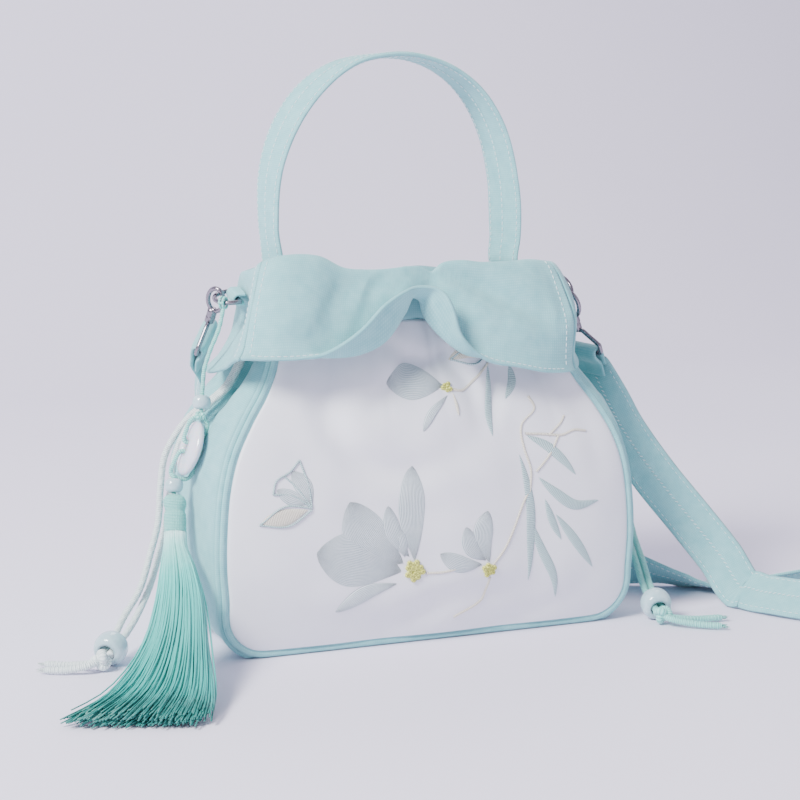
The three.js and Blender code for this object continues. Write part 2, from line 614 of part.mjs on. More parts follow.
const hookBars = {};
const rings = {};
for (const place of SIDES) {
  const { side, x, roll } = place;
  const tab = new THREE.Shape();
  tab.moveTo(-TAB_OUTER, -TAB_OUTER);
  tab.lineTo(0, -TAB_OUTER);
  tab.absarc(0, 0, TAB_OUTER, -Math.PI / 2, Math.PI / 2);
  tab.lineTo(-TAB_OUTER, TAB_OUTER);
  const hole = new THREE.Path();
  hole.absarc(0, 0, TAB_HOLE, 0, Math.PI * 2, true);
  tab.holes.push(hole);
  const tabBody = new THREE.ExtrudeGeometry(tab, { depth: TAB_WIDTH, bevelEnabled: false, curveSegments: 5 });
  tabBody.translate(0, 0, -TAB_WIDTH / 2);
  const above = TAB_OUTER * Math.cos(rad(roll)) + (TAB_WIDTH / 2) * Math.sin(rad(roll));
  const centre = vec(x * (collarReach(place.station, above) + TAB_OUTER + SEAT), place.back, RING_HEIGHT);
  const basis = new THREE.Matrix4().makeBasis(vec(x, 0, 0), vec(0, 0, 1), vec(0, -x, 0));
  const rolled = new THREE.Quaternion().setFromAxisAngle(vec(1, 0, 0), rad(roll));
  const turn = rolled.clone().multiply(new THREE.Quaternion().setFromRotationMatrix(basis));
  add(`ring_tab_${side}`, outward(tabBody), AQUA, 0.8, 0, centre, turn);

  const outline = [-1, -0.5, 0, 0.5, 1].map((share) => vec(0, RING_HALF * share, 0));
  for (let step = 1; step < 13; step += 1) {
    const angle = Math.PI / 2 - (step / 13) * Math.PI;
    outline.push(vec(x * RING_REACH * Math.cos(angle) ** 0.8, RING_HALF * Math.sin(angle), 0));
  }
  const tilt = rolled.clone().multiply(new THREE.Quaternion().setFromAxisAngle(vec(0, x, 0), rad(place.droop)));
  add(`d_ring_${side}`, wireLoop(outline, UP, RING_WIRE, 6), METAL, 0.25, 1, centre, tilt);
  const ring = { x, centre, tilt };
  rings[side] = ring;

  // Snap hook: an eye through the ring, a barrel and a frame for the strap
  const held = ringPoint(ring, place.grip);
  const hang = place.hang.clone().normalize();
  const wire = ringPoint(ring, place.grip + 8).sub(ringPoint(ring, place.grip - 8));
  const facing = wire.addScaledVector(hang, -wire.dot(hang)).normalize();
  const eyeAside = facing.clone().cross(hang);
  const eyeCentre = held.clone().addScaledVector(hang, HOOK_EYE_HALF_LENGTH - RING_WIRE - SEAT * 2 - HOOK_WIRE);
  const eye = outlineIn(eyeCentre, eyeAside, hang, oval(HOOK_EYE_HALF_WIDTH, HOOK_EYE_HALF_LENGTH, 12));
  const bar = held.clone().addScaledVector(hang, HOOK_LENGTH);
  const wide = place.bar.clone().addScaledVector(hang, -place.bar.dot(hang)).normalize();
  const half = STRAP_WIDTH / 2 + SEAT + HOOK_WIRE;
  const frame = outlineIn(bar, wide, hang, frameShape(half));
  const barrelTop = eyeCentre.clone().addScaledVector(hang, HOOK_EYE_HALF_LENGTH);
  const barrelFoot = bar.clone().addScaledVector(hang, -HOOK_FRAME_RISE);
  add(`snap_hook_${side}`, fuse([
    wireLoop(eye, facing, HOOK_WIRE, 6),
    wireLoop(frame, wide.clone().cross(hang), HOOK_WIRE, 6),
    rod(barrelTop, barrelFoot, HOOK_BARREL, 8),
  ]), METAL, 0.25, 1);
  hookBars[side] = { bar, wide };
}

// Shoulder strap from the right hook down to the floor, round outside, behind
// the purse and up to the left hook. Centre x, y and z are shares of the half
// width, half depth and ring height; z 0 stands on the floor. Width direction
// is wx, wy, wz
const STRAP_ROWS = [
  { x: 1.06, y: -0.02, z: 0.690, wx: 0.50, wy: -0.72, wz: 0.35 },
  { x: 1.16, y: -0.08, z: 0.557, wx: 0.77, wy: -0.34, wz: 0.55 },
  { x: 1.32, y: -0.25, z: 0.397, wx: 0.76, wy: -0.34, wz: 0.55 },
  { x: 1.48, y: -0.46, z: 0.255, wx: 0.74, wy: -0.33, wz: 0.58 },
  { x: 1.59, y: -0.69, z: 0.144, wx: 0.74, wy: -0.20, wz: 0.64 },
  { x: 1.65, y: -1.00, z: 0.000, wx: 0.74, wy: 0.10, wz: 0.64 },
  { x: 1.71, y: -1.31, z: 0.000, wx: 0.68, wy: 0.38, wz: 0.62 },
  { x: 1.79, y: -1.62, z: 0.000, wx: 0.48, wy: 0.60, wz: 0.64 },
  { x: 1.88, y: -1.92, z: 0.000, wx: 0.30, wy: 0.50, wz: 0.80 },
  { x: 2.02, y: -2.19, z: 0.000, wx: 0.10, wy: 0.12, wz: 0.99 },
  { x: 2.28, y: -2.61, z: 0.000, wx: 0.00, wy: 0.05, wz: 1.00 },
  { x: 2.63, y: -2.82, z: 0.000, wx: 0.00, wy: 0.00, wz: 1.00 },
  { x: 2.96, y: -2.61, z: 0.000, wx: 0.00, wy: 0.00, wz: 1.00 },
  { x: 3.15, y: -2.06, z: 0.000, wx: 0.00, wy: 0.00, wz: 1.00 },
  { x: 3.07, y: -1.43, z: 0.000, wx: 0.00, wy: 0.00, wz: 1.00 },
  { x: 2.81, y: -1.05, z: 0.000, wx: 0.03, wy: -0.10, wz: 1.00 },
  { x: 2.43, y: -0.90, z: 0.000, wx: 0.15, wy: -0.55, wz: 0.80 },
  { x: 2.07, y: -0.72, z: 0.000, wx: 0.25, wy: -0.82, wz: 0.50 },
  { x: 1.81, y: -0.44, z: 0.000, wx: 0.32, wy: -0.90, wz: 0.24 },
  { x: 1.54, y: -0.18, z: 0.000, wx: 0.35, wy: -0.92, wz: 0.14 },
  { x: 1.31, y: 0.16, z: 0.000, wx: 0.35, wy: -0.78, wz: 0.52 },
  { x: 1.15, y: 0.59, z: 0.000, wx: 0.00, wy: 0.00, wz: 1.00 },
  { x: 1.04, y: 1.10, z: 0.000, wx: 0.00, wy: 0.00, wz: 1.00 },
  { x: 0.85, y: 1.41, z: 0.000, wx: 0.00, wy: 0.00, wz: 1.00 },
  { x: 0.46, y: 1.56, z: 0.000, wx: 0.00, wy: 0.00, wz: 1.00 },
  { x: 0.00, y: 1.64, z: 0.000, wx: 0.00, wy: 0.00, wz: 1.00 },
  { x: -0.28, y: 1.66, z: 0.090, wx: -0.20, wy: 0.00, wz: 0.98 },
  { x: -0.50, y: 1.60, z: 0.190, wx: -0.60, wy: 0.00, wz: 0.80 },
  { x: -0.61, y: 1.52, z: 0.331, wx: -0.80, wy: 0.10, wz: 0.60 },
  { x: -0.70, y: 1.47, z: 0.473, wx: -0.60, wy: 0.50, wz: 0.60 },
  { x: -0.78, y: 1.40, z: 0.580, wx: -0.20, wy: 0.75, wz: 0.63 },
  { x: -0.83, y: 1.24, z: 0.675, wx: 0.10, wy: 0.80, wz: 0.60 },
  { x: -0.84, y: 0.97, z: 0.769, wx: 0.32, wy: 0.76, wz: 0.55 },
];

// The sewn-down end round the bar of a hook, from its tail to where it leaves:
// pairs of a distance off the leaving line and one along it, in curl radii
const CURL = [
  [0.05, 5.0], [0.05, 2.4], [0.7, 1.2], [1, 0.3], [0.87, -0.5], [0.5, -0.87], [0, -1],
  [-0.5, -0.87], [-0.87, -0.5], [-1, 0.3], [-1, 1.6], [-1, 3.4],
];

function curlStations({ bar, wide }, towards) {
  const along = towards.clone().sub(bar);
  along.addScaledVector(wide, -along.dot(wide)).normalize();
  const off = along.clone().cross(wide);
  return outlineIn(bar, off, along, CURL.map((pair) => pair.map((share) => share * CURL_RADIUS)))
    .map((centre) => ({ centre, wide }));
}

// Lifts the stations of a band so that its lower edge stands on the floor
function standing(stations) {
  return stations.map(({ centre, wide }, i) => {
    const frame = bandFrame(stations, i);
    const rest = (STRAP_WIDTH / 2) * Math.abs(frame.wide.z) + (STRAP_THICKNESS / 2) * Math.abs(frame.thick.z) + SEAT;
    return { centre: centre.clone().setZ(Math.max(centre.z, rest)), wide };
  });
}

const strapRow = (row) => ({
  centre: vec(BODY_HALF_WIDTH * row.x, BODY_HALF_DEPTH * row.y, RING_HEIGHT * row.z),
  wide: vec(row.wx, row.wy, row.wz).normalize(),
});
const strapRun = standing(STRAP_ROWS.map(strapRow));
const rightCurl = curlStations(hookBars.right, strapRun[0].centre);
const leftCurl = curlStations(hookBars.left, strapRun[strapRun.length - 1].centre).reverse();
const strapStations = bandStations([rightCurl[rightCurl.length - 1], ...strapRun, leftCurl[0]], (row) => row, 66);
add('shoulder_strap', band(standing([
  ...rightCurl.slice(0, -1), ...strapStations, ...leftCurl.slice(1),
]), STRAP_WIDTH, STRAP_THICKNESS), AQUA);

// A bead drilled along its axis, as a closed turned outline
function bead(radius, halfHeight, bore, steps, segments) {
  const profile = [];
  for (let step = 0; step <= steps; step += 1) {
    const angle = ((step / steps) - 0.5) * Math.PI;
    profile.push(new THREE.Vector2(bore + (radius - bore) * Math.cos(angle) ** 0.7, halfHeight * Math.sin(angle)));
  }
  profile.push(profile[0].clone());
  return outward(new THREE.LatheGeometry(profile, segments));
}

const turnTo = (axis) => new THREE.Quaternion().setFromUnitVectors(vec(0, 1, 0), axis.clone().normalize());

// A knot: two fat turns of cord round each other
function knotBody(centre, radius, axis) {
  const core = new THREE.SphereGeometry(radius * 0.86, 8, 6);
  const turns = [0, Math.PI / 2].map((angle) => {
    const turn = new THREE.TorusGeometry(radius * 0.6, radius * 0.4, 5, 10);
    return turn.rotateX(angle).rotateY(0.5);
  });
  return [core, ...turns].map((geometry) => geometry.applyQuaternion(turnTo(axis))
    .translate(...centre.toArray()));
}

// Drawstring ends, each a pair of strands out of the casing, through a bead to
// a knot with two tails. Route is the middle of the pair, apart its half spacing
const DRAWSTRINGS = [
  {
    side: 'left', colour: PALE_CORD, bead: vec(-157.8, -30.2, 8.5), axis: vec(-0.58, -0.78, -0.24),
    route: [
      [-77, 2, NECK_HEIGHT], [-77.6, 2, 153.5], [-79.5, 2, 147], [-82, 3, 140], [-86, 4, 131], [-91, 4.5, 123.5],
      [-99.6, 5, 116.4], [-107, 6, 110.6], [-114, 6, 101.6], [-119, 6, 91], [-121.4, 5.5, 77],
      [-124, 3, 60], [-128.8, 0, 45], [-135.4, -5.5, 29.5], [-144.7, -13, 17.5], [-150, -19, 12.4],
    ],
    apart: [
      [0, 2], [0, 2], [0, 2], [0, 2], [0, 2], [0, 2], [-0.2, 2], [-0.6, 2], [-1.4, 2], [-2.2, 1.6],
      [-2.8, -0.8], [-2.8, -2.6], [-3.1, -3], [-3.1, -2.5], [-3, 0.5], [-2.2, 1.4],
    ],
    tails: [
      [[-169, -38, 4.6], [-178, -31, 2.6], [-187.5, -24, 2.3]],
      [[-170, -41, 4.4], [-180, -38, 2.5], [-189.5, -33.5, 2.3]],
    ],
  },
  {
    side: 'right', colour: MINT_CORD, bead: vec(120.8, -53.7, 8.5), axis: vec(-0.20, -0.93, -0.30),
    route: [
      [77, 0, NECK_HEIGHT], [78.2, 0, 153], [79.4, 0, 147], [83, 0, 138], [89, 0, 125], [98.5, -1, 112], [109, -3, 101],
      [115.5, -7, 88], [120, -10, 68], [126, -11, 46], [126.3, -17, 35], [124.6, -29, 25],
      [122.4, -41, 15],
    ],
    apart: [
      [0, 2], [0, 2], [0, 2], [0, 2], [0, 2], [0, 2], [0.4, 2], [0.8, 2], [1.4, 1.8], [2.4, 1], [2, 0],
      [2, 0], [2, 0],
    ],
    tails: [
      [[121, -66, 4.6], [134, -68, 2.6], [150, -70, 2.3]],
      [[120, -69, 4.4], [130, -77, 2.6], [141.5, -84, 2.3]],
    ],
  },
];

for (const { side, colour, bead: middle, axis, route, apart, tails } of DRAWSTRINGS) {
  const along = axis.clone().normalize();
  const entry = CORD_BEAD_HALF_HEIGHT + SEAT;
  const across = vec(...apart[apart.length - 1], 0);
  across.addScaledVector(along, -across.dot(along)).setLength(CORD_RADIUS + SEAT / 2);
  for (const [letter, sign] of [['a', 1], ['b', -1]]) {
    const points = route.map((point, i) => vec(...point).addScaledVector(vec(...apart[i], 0), sign));
    for (const share of [-1, 1]) {
      points.push(middle.clone().addScaledVector(along, share * entry).addScaledVector(across, sign));
    }
    const strand = new THREE.CatmullRomCurve3(points, false, 'centripetal');
    add(`drawstring_${side}_${letter}`, tube(strand, CORD_RADIUS, 24, 8), colour);
  }
  const beadBody = bead(CORD_BEAD_RADIUS, CORD_BEAD_HALF_HEIGHT, CORD_BEAD_BORE, 7, 18);
  add(`drawstring_bead_${side}`, beadBody, BEAD, 0.15, 0, middle, turnTo(along));
  const knot = middle.clone().addScaledVector(along, entry + SEAT + KNOT_RADIUS);
  knot.z = Math.max(knot.z, KNOT_RADIUS + SEAT);
  add(`drawstring_knot_${side}`, fuse([
    ...knotBody(knot, KNOT_RADIUS, along),
    ...tails.map((tail) => {
      const curve = new THREE.CatmullRomCurve3([knot, ...tail.map((point) => vec(...point))]);
      return tube(curve, CORD_RADIUS, 4, 6);
    }),
  ]), colour);
}

// Pendant on the left ring: a doubled thread, a round bead, a ring stone, a
// second bead and a tassel that ends on the floor
const STONE = vec(-114.2, -16, 98.4);
const STONE_DOWN = vec(-0.34, 0, -0.94).normalize();
const STONE_AXIS = vec(0.94, 0, -0.34).normalize();
const BEADS = [
  { name: 'pendant_bead_upper', centre: vec(-107.6, -13.2, 119.9), axis: vec(-0.15, -0.25, -1) },
  { name: 'pendant_bead_lower', centre: vec(-123.3, -18.6, 81.4), axis: vec(-0.15, -0.3, -1) },
];
for (const { name, centre, axis } of BEADS) {
  const body = bead(ROUND_BEAD_RADIUS, ROUND_BEAD_HALF_HEIGHT, THREAD_RADIUS + SEAT, 6, 12);
  add(name, body, BEAD, 0.15, 0, centre, turnTo(axis));
}

// Where the thread goes in and out of a bead's bore
function throughBead({ centre, axis }) {
  const reach = ROUND_BEAD_HALF_HEIGHT / axis.length();
  return [-1, 1].map((share) => centre.clone().addScaledVector(axis, share * reach));
}

const stoneBody = bead(RING_STONE_RADIUS, RING_STONE_HALF_HEIGHT, RING_STONE_BORE, 7, 24);
add('pendant_ring_stone', stoneBody, JADE, 0.12, 0, STONE, turnTo(STONE_AXIS));

const ringHold = ringPoint(rings.left, -45);
const ringWire = ringPoint(rings.left, -53).sub(ringPoint(rings.left, -37)).normalize();
const holdAside = ringWire.clone().cross(UP).normalize();
const holdReach = RING_WIRE + SEAT + THREAD_RADIUS;
const grip = outlineIn(ringHold, holdAside, UP, oval(holdReach, holdReach + 0.4, 10));
const gripFacing = holdAside.clone().cross(UP);
const throughBore = RING_STONE_BORE - SEAT * 2 - THREAD_RADIUS;
const overFace = RING_STONE_HALF_HEIGHT + SEAT * 2 + THREAD_RADIUS;
const overRim = RING_STONE_RADIUS + SEAT * 2 + THREAD_RADIUS;
const stoneFacing = STONE_AXIS.clone().cross(STONE_DOWN);
const upperLoop = outlineIn(STONE, STONE_AXIS, STONE_DOWN, [
  [0, -throughBore], [overFace * 0.85, -throughBore - 0.8], [overFace, -RING_STONE_RADIUS * 0.5],
  [overFace * 0.8, -overRim + 1.5], [0, -overRim], [-overFace * 0.8, -overRim + 1.5],
  [-overFace, -RING_STONE_RADIUS * 0.5], [-overFace * 0.85, -throughBore - 0.8],
]);
const lowerLoop = outlineIn(STONE, STONE_AXIS, STONE_DOWN, [
  [0, throughBore], [overFace * 0.85, throughBore + 0.8], [overFace, RING_STONE_RADIUS * 0.5],
  [overFace * 0.8, overRim - 1.5], [0, overRim], [-overFace * 1.1, overRim - 1.2],
  [-overFace * 1.15, RING_STONE_RADIUS * 0.6], [-overFace * 0.85, throughBore + 0.8],
]);
const upperTip = upperLoop[4];
const lowerTip = lowerLoop[5];
const upperRoute = new THREE.CatmullRomCurve3([
  ringHold.clone().addScaledVector(UP, -holdReach), vec(-96.5, -5.6, 154), vec(-101.5, -7.6, 144),
  vec(-105, -9.6, 135.5), vec(-106.4, -11, 127), ...throughBead(BEADS[0]), upperTip,
]);
add('pendant_cord_upper', fuse([
  wireLoop(grip, gripFacing, THREAD_RADIUS, 6),
  tube(upperRoute, THREAD_RADIUS, 12, 8),
  new THREE.SphereGeometry(THREAD_KNOT_RADIUS, 8, 6).scale(1, 1, 0.75)
    .translate(...upperTip.clone().addScaledVector(UP, THREAD_RADIUS).toArray()),
  wireLoop(upperLoop, stoneFacing, THREAD_RADIUS, 6),
]), MINT_CORD);

// Tassel sections from the head down to the cut ends: centre x, y as distances
// from the head in shares of the spread, z, half width and half thickness
const TASSEL_TOP = vec(-123.6, -19.9, TASSEL_HEIGHT);
const TASSEL_ROWS = [
  { x: 0.00, y: 0.00, z: 1.000, wide: 0.07, thick: 0.07 },
  { x: 0.00, y: -0.01, z: 0.985, wide: 0.15, thick: 0.15 },
  { x: 0.00, y: -0.04, z: 0.950, wide: 0.18, thick: 0.18 },
  { x: -0.01, y: -0.09, z: 0.905, wide: 0.15, thick: 0.15 },
  { x: -0.02, y: -0.11, z: 0.885, wide: 0.17, thick: 0.17 },
  { x: -0.04, y: -0.20, z: 0.780, wide: 0.17, thick: 0.17 },
  { x: -0.07, y: -0.32, z: 0.700, wide: 0.18, thick: 0.17 },
  { x: -0.11, y: -0.62, z: 0.590, wide: 0.27, thick: 0.22 },
  { x: -0.22, y: -1.12, z: 0.430, wide: 0.37, thick: 0.25 },
  { x: -0.54, y: -2.05, z: 0.245, wide: 0.50, thick: 0.23 },
  { x: -0.98, y: -2.90, z: 0.100, wide: 0.76, thick: 0.16 },
  { x: -1.50, y: -3.45, z: 0.042, wide: 1.04, thick: 0.07 },
];
const TASSEL_WIDE = vec(0.93, -0.36, 0).normalize();
const skirtFrom = 6;

function tasselSection(row, along) {
  const centre = TASSEL_TOP.clone().add(vec(TASSEL_HALF_SPREAD * row.x, TASSEL_HALF_SPREAD * row.y, 0));
  centre.z = TASSEL_HEIGHT * row.z;
  return { centre, wide: TASSEL_WIDE, thick: along.clone().cross(TASSEL_WIDE).normalize(), row };
}

const tasselSections = TASSEL_ROWS.map((row, i) => {
  const ahead = TASSEL_ROWS[Math.min(i + 1, TASSEL_ROWS.length - 1)];
  const behind = TASSEL_ROWS[Math.max(i - 1, 0)];
  const along = vec(
    TASSEL_HALF_SPREAD * (ahead.x - behind.x), TASSEL_HALF_SPREAD * (ahead.y - behind.y),
    TASSEL_HEIGHT * (ahead.z - behind.z),
  ).normalize();
  return tasselSection(row, along);
});

// A point of a section, by turn and by a share of its half sizes
function tasselPoint({ centre, wide, thick, row }, turn, share = 1) {
  const point = centre.clone()
    .addScaledVector(wide, TASSEL_HALF_SPREAD * row.wide * share * Math.cos(turn))
    .addScaledVector(thick, TASSEL_HALF_SPREAD * row.thick * share * Math.sin(turn));
  return point;
}

const around = (section, sides, share) => Array.from({ length: sides }, (_, i) => (
  tasselPoint(section, (i / sides) * Math.PI * 2, share)));
const tasselParts = [skin(tasselSections.map((section, i) => around(section, 12, i > skirtFrom ? 0.86 : 1)))];
for (let lock = 0; lock < TASSEL_LOCKS; lock += 1) {
  const turn = ((lock + 0.5) / TASSEL_LOCKS) * Math.PI * 2;
  const loops = tasselSections.slice(skirtFrom).map((section) => {
    const half = TASSEL_HALF_SPREAD * Math.max(section.row.thick * 0.42, 0.035);
    const middle = tasselPoint(section, turn, 0.84);
    return Array.from({ length: 5 }, (_, i) => {
      const angle = (i / 5) * Math.PI * 2;
      const reach = half * (1 + 0.8 * (section.row.wide - section.row.thick));
      return middle.clone().addScaledVector(section.wide, reach * Math.cos(angle))
        .addScaledVector(section.thick, half * 0.8 * Math.sin(angle));
    });
  });
  tasselParts.push(skin(loops));
}
tasselParts.forEach((geometry) => {
  const place = geometry.attributes.position;
  for (let i = 0; i < place.count; i += 1) place.setZ(i, Math.max(place.getZ(i), SEAT));
});
add('tassel', fuse(tasselParts), TASSEL, 0.5);

const lowerRoute = new THREE.CatmullRomCurve3([
  lowerTip, ...throughBead(BEADS[1]), TASSEL_TOP.clone().addScaledVector(UP, SEAT),
]);
add('pendant_cord_lower', fuse([
  wireLoop(lowerLoop, stoneFacing, THREAD_RADIUS, 6),
  tube(lowerRoute, THREAD_RADIUS, 6, 8),
]), MINT_CORD);

export default group;
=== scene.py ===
# %% [markdown]
# # An embroidered drawstring purse
# The CAD model fixes the sizes and places. This script dresses it: cloth with
# folds, piping, stitches, braided cord, glazed beads, a stone, metal and silk.
# All shapes are worked out in millimetres and turned to metres at the end.

import math

import bpy
import numpy as np
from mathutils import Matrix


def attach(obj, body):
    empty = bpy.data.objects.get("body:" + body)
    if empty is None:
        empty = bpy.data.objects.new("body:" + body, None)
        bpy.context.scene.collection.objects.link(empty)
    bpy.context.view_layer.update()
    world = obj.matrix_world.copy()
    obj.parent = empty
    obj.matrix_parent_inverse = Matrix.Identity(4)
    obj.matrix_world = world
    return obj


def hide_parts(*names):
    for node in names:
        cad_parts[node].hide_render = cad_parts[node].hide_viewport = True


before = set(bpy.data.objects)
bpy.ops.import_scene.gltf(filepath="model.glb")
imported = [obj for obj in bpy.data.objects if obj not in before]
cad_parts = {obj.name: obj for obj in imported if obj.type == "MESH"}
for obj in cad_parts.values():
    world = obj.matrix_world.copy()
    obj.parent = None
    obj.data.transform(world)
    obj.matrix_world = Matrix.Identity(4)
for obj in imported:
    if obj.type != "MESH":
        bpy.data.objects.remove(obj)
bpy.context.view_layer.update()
MM = 0.001
print("CAD nodes:", len(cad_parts))

# %% [markdown]
# ## The camera
# A photograph's perspective comes from where the camera stood. This one looked
# at the purse from a little left of its front and slightly above, with a long
# lens, so the sides stay nearly parallel. Placing it first means that every
# later piece can be compared with the photograph from the first render.

# %% Camera
LENS_MM, SENSOR_MM, FAR_CLIP = 76.5, 36, 20
CAMERA_PLACE, CAMERA_TILT, CAMERA_TURN = (-0.31688, -0.79878, 0.23508), 81.96, -21.64
camera_data = bpy.data.cameras.new("camera")
camera_data.lens, camera_data.sensor_width, camera_data.clip_end = LENS_MM, SENSOR_MM, FAR_CLIP
camera = bpy.data.objects.new("camera", camera_data)
camera.location = CAMERA_PLACE
camera.rotation_euler = (math.radians(CAMERA_TILT), 0, math.radians(CAMERA_TURN))
bpy.context.scene.collection.objects.link(camera)
bpy.context.scene.camera = camera
print("camera", tuple(round(c, 3) for c in camera.location))

# %% [markdown]
# ## Smooth lines
# Cords, seams and collar profiles are all smooth lines through a few points. A
# Bezier needs handles; a Catmull-Rom line needs only the points, and its
# centripetal kind never loops between them, so it is used everywhere here.

# %% Lines through points
SAME_PLACE = 1e-4  # points nearer than this count as one


def unit(v):
    return v / np.maximum(np.linalg.norm(v, axis=-1, keepdims=True), 1e-12)


def segment(p0, p1, p2, p3, w):
    """Points between p1 and p2 at share w, for whole arrays at once."""
    gap = lambda a, b: np.sqrt(np.linalg.norm(b - a, axis=-1, keepdims=True))
    d1 = gap(p1, p2)
    d1 = np.where(d1 < SAME_PLACE, 1, d1)
    d0, d2 = gap(p0, p1), gap(p2, p3)
    d0, d2 = np.where(d0 < SAME_PLACE, d1, d0), np.where(d2 < SAME_PLACE, d1, d2)
    t1 = ((p1 - p0) / d0 - (p2 - p0) / (d0 + d1) + (p2 - p1) / d1) * d1
    t2 = ((p2 - p1) / d1 - (p3 - p1) / (d1 + d2) + (p3 - p2) / d2) * d1
    return p1 + t1 * w + (3 * (p2 - p1) - 2 * t1 - t2) * w**2 + (2 * (p1 - p2) + t1 + t2) * w**3


def spline(points, t):
    """Points at shares t of a line through points; points may be (..., n, 3)."""
    p = np.asarray(points, float)
    n = p.shape[-2]
    first, last = 2 * p[..., :1, :] - p[..., 1:2, :], 2 * p[..., -1:, :] - p[..., -2:-1, :]
    full = np.concatenate([first, p, last], axis=-2)
    f = np.clip(np.asarray(t, float), 0, 1) * (n - 1)
    i = np.minimum(f.astype(int), n - 2)
    return segment(*(full[..., i + k, :] for k in range(4)), (f - i)[:, None])


def run_of(line):
    """How far along a line each of its points is."""
    return np.r_[0, np.cumsum(np.linalg.norm(np.diff(line, axis=0), axis=1))]


def read_off(at, run, points):
    """Points, or directions, read off at places along a line."""
    return np.stack([np.interp(at, run, points[:, k]) for k in range(3)], axis=-1)


def evenly(points, count, fine=1200):
    """The line through points again, as count points at even spacing."""
    line = spline(points, np.linspace(0, 1, fine))
    run = run_of(line)
    return read_off(np.linspace(0, run[-1], count), run, line)


def line_length(line):
    return float(np.linalg.norm(np.diff(line, axis=0), axis=1).sum())


def circle(count):
    """Angles of count even places round a circle."""
    return np.arange(count) / count * 2 * np.pi


# %% [markdown]
# ## Tables read as smooth curves
# Widths and depths along the body are short tables of measured stations. A
# smooth cubic between the rows gives cloth that has no corners where a row is.

# %% A table's column at any place
def follow(keys, values, at):
    keys, values, at = (np.asarray(a, float) for a in (keys, values, at))
    last = len(keys) - 1
    i = np.clip(np.searchsorted(keys, at) - 1, 0, last - 1)
    before, after = np.maximum(i - 1, 0), np.minimum(i + 2, last)
    span = keys[i + 1] - keys[i]
    t = np.clip((at - keys[i]) / span, 0, 1)
    rise_from = (values[i + 1] - values[before]) / (keys[i + 1] - keys[before]) * span
    rise_to = (values[after] - values[i]) / (keys[after] - keys[i]) * span
    t2, t3 = t * t, t**3
    return ((2 * t3 - 3 * t2 + 1) * values[i] + (t3 - 2 * t2 + t) * rise_from
            + (3 * t2 - 2 * t3) * values[i + 1] + (t3 - t2) * rise_to)


def smooth(at, low, high):
    t = np.clip((at - low) / (high - low), 0, 1)
    return t * t * (3 - 2 * t)


def ripple(p, size):
    """A slow unevenness from -1 to 1 over points, size millimetres across."""
    x, y, z = np.moveaxis(np.asarray(p, float) * (2 * np.pi / size), -1, 0)
    waves = [(1.0, 0.3, 0.2, 0.4), (-0.4, 0.8, 0.9, 1.7), (0.6, -0.9, 0.7, 3.1),
             (0.2, 1.3, -1.1, 5.0), (-1.4, 0.2, 0.9, 2.2)]
    return sum(np.sin(a * x + b * y + c * z + d) for a, b, c, d in waves) / 3.2


# %% [markdown]
# ## Materials are built from nodes
# One function adds a node with its settings and links. Colours are written as
# the sRGB values that a colour picker shows, and turned to linear once.

# %% Node and colour helpers
def colour(hex_value):
    parts = [int(hex_value[i:i + 2], 16) / 255 for i in (1, 3, 5)]
    return tuple(c / 12.92 if c <= 0.04045 else ((c + 0.055) / 1.055) ** 2.4 for c in parts) + (1,)


def node(tree, kind, inputs=None, **settings):
    made = tree.nodes.new(kind)
    for key, value in settings.items():
        setattr(made, key, value)
    for key, value in (inputs or {}).items():
        if isinstance(value, bpy.types.NodeSocket):
            tree.links.new(value, made.inputs[key])
        else:
            made.inputs[key].default_value = value
    return made


def material(name, paint, **shader):
    """A material; paint(tree) gives what is linked into the shader by socket."""
    made = bpy.data.materials.new(name)
    made.use_nodes = True
    tree = made.node_tree
    tree.nodes.clear()
    names = {key.replace("_", " "): value for key, value in shader.items()}
    body = node(tree, "ShaderNodeBsdfPrincipled", {**names, **paint(tree)})
    node(tree, "ShaderNodeOutputMaterial", {"Surface": body.outputs[0]})
    return made


def between(tree, share, low, high):
    mix = node(tree, "ShaderNodeMix", {0: share, 6: colour(low), 7: colour(high)}, data_type="RGBA")
    return mix.outputs[2]


# %% [markdown]
# ## Woven and stitched cloth
# Cloth is threads over and under each other. Cloth meshes carry millimetres
# as their texture coordinates, so two crossed waves make the warp and the weft
# at a set spacing. Real thread is about 0.4 mm apart; a picture point
# is about 0.5 mm, so the weave is drawn at 1 mm to show at all.

# %% Thread patterns
BAND_PERIOD = 0.314  # Blender's wave repeats every 0.314 units at scale 1


def bands(tree, spacing, direction, wobble):
    place = node(tree, "ShaderNodeUVMap").outputs[0]
    return node(tree, "ShaderNodeTexWave", {
        "Vector": place, "Scale": BAND_PERIOD / spacing, "Distortion": wobble, "Detail": 1.0,
    }, bands_direction=direction).outputs["Fac"]


def speckle(tree, size, detail=3.0):
    place = node(tree, "ShaderNodeTexCoord").outputs["Object"]
    return node(tree, "ShaderNodeTexNoise", {
        "Vector": place, "Scale": 1 / (size * MM), "Detail": detail,
    }).outputs["Fac"]


def bump(tree, height, depth, strength):
    return node(tree, "ShaderNodeBump", {
        "Height": height, "Distance": depth * MM, "Strength": strength,
    }).outputs[0]


def combine(tree, a, b, operation="ADD"):
    return node(tree, "ShaderNodeMath", {0: a, 1: b}, operation=operation).outputs[0]


def times(tree, a, b):
    return combine(tree, a, b, "MULTIPLY")


# %% [markdown]
# ## Aqua cotton and white satin
# The gusset, collar and straps are matt plain-woven cotton with uneven thread,
# so they have no gloss and a faint fuzz (sheen). The faces are satin: long
# threads lie on top, which gives a soft wide gloss and hides the weave.

# %% Cloth materials
def cotton_weave(tree, low="#6DB3B8", high="#A9DCDC"):
    weave = times(tree, bands(tree, 1.0, "X", 0.4), bands(tree, 1.0, "Y", 0.4))
    slub = speckle(tree, 5.0)
    share = combine(tree, times(tree, weave, 0.35), times(tree, slub, 0.65))
    return {"Base Color": between(tree, share, low, high), "Normal": bump(tree, weave, 0.12, 0.55)}


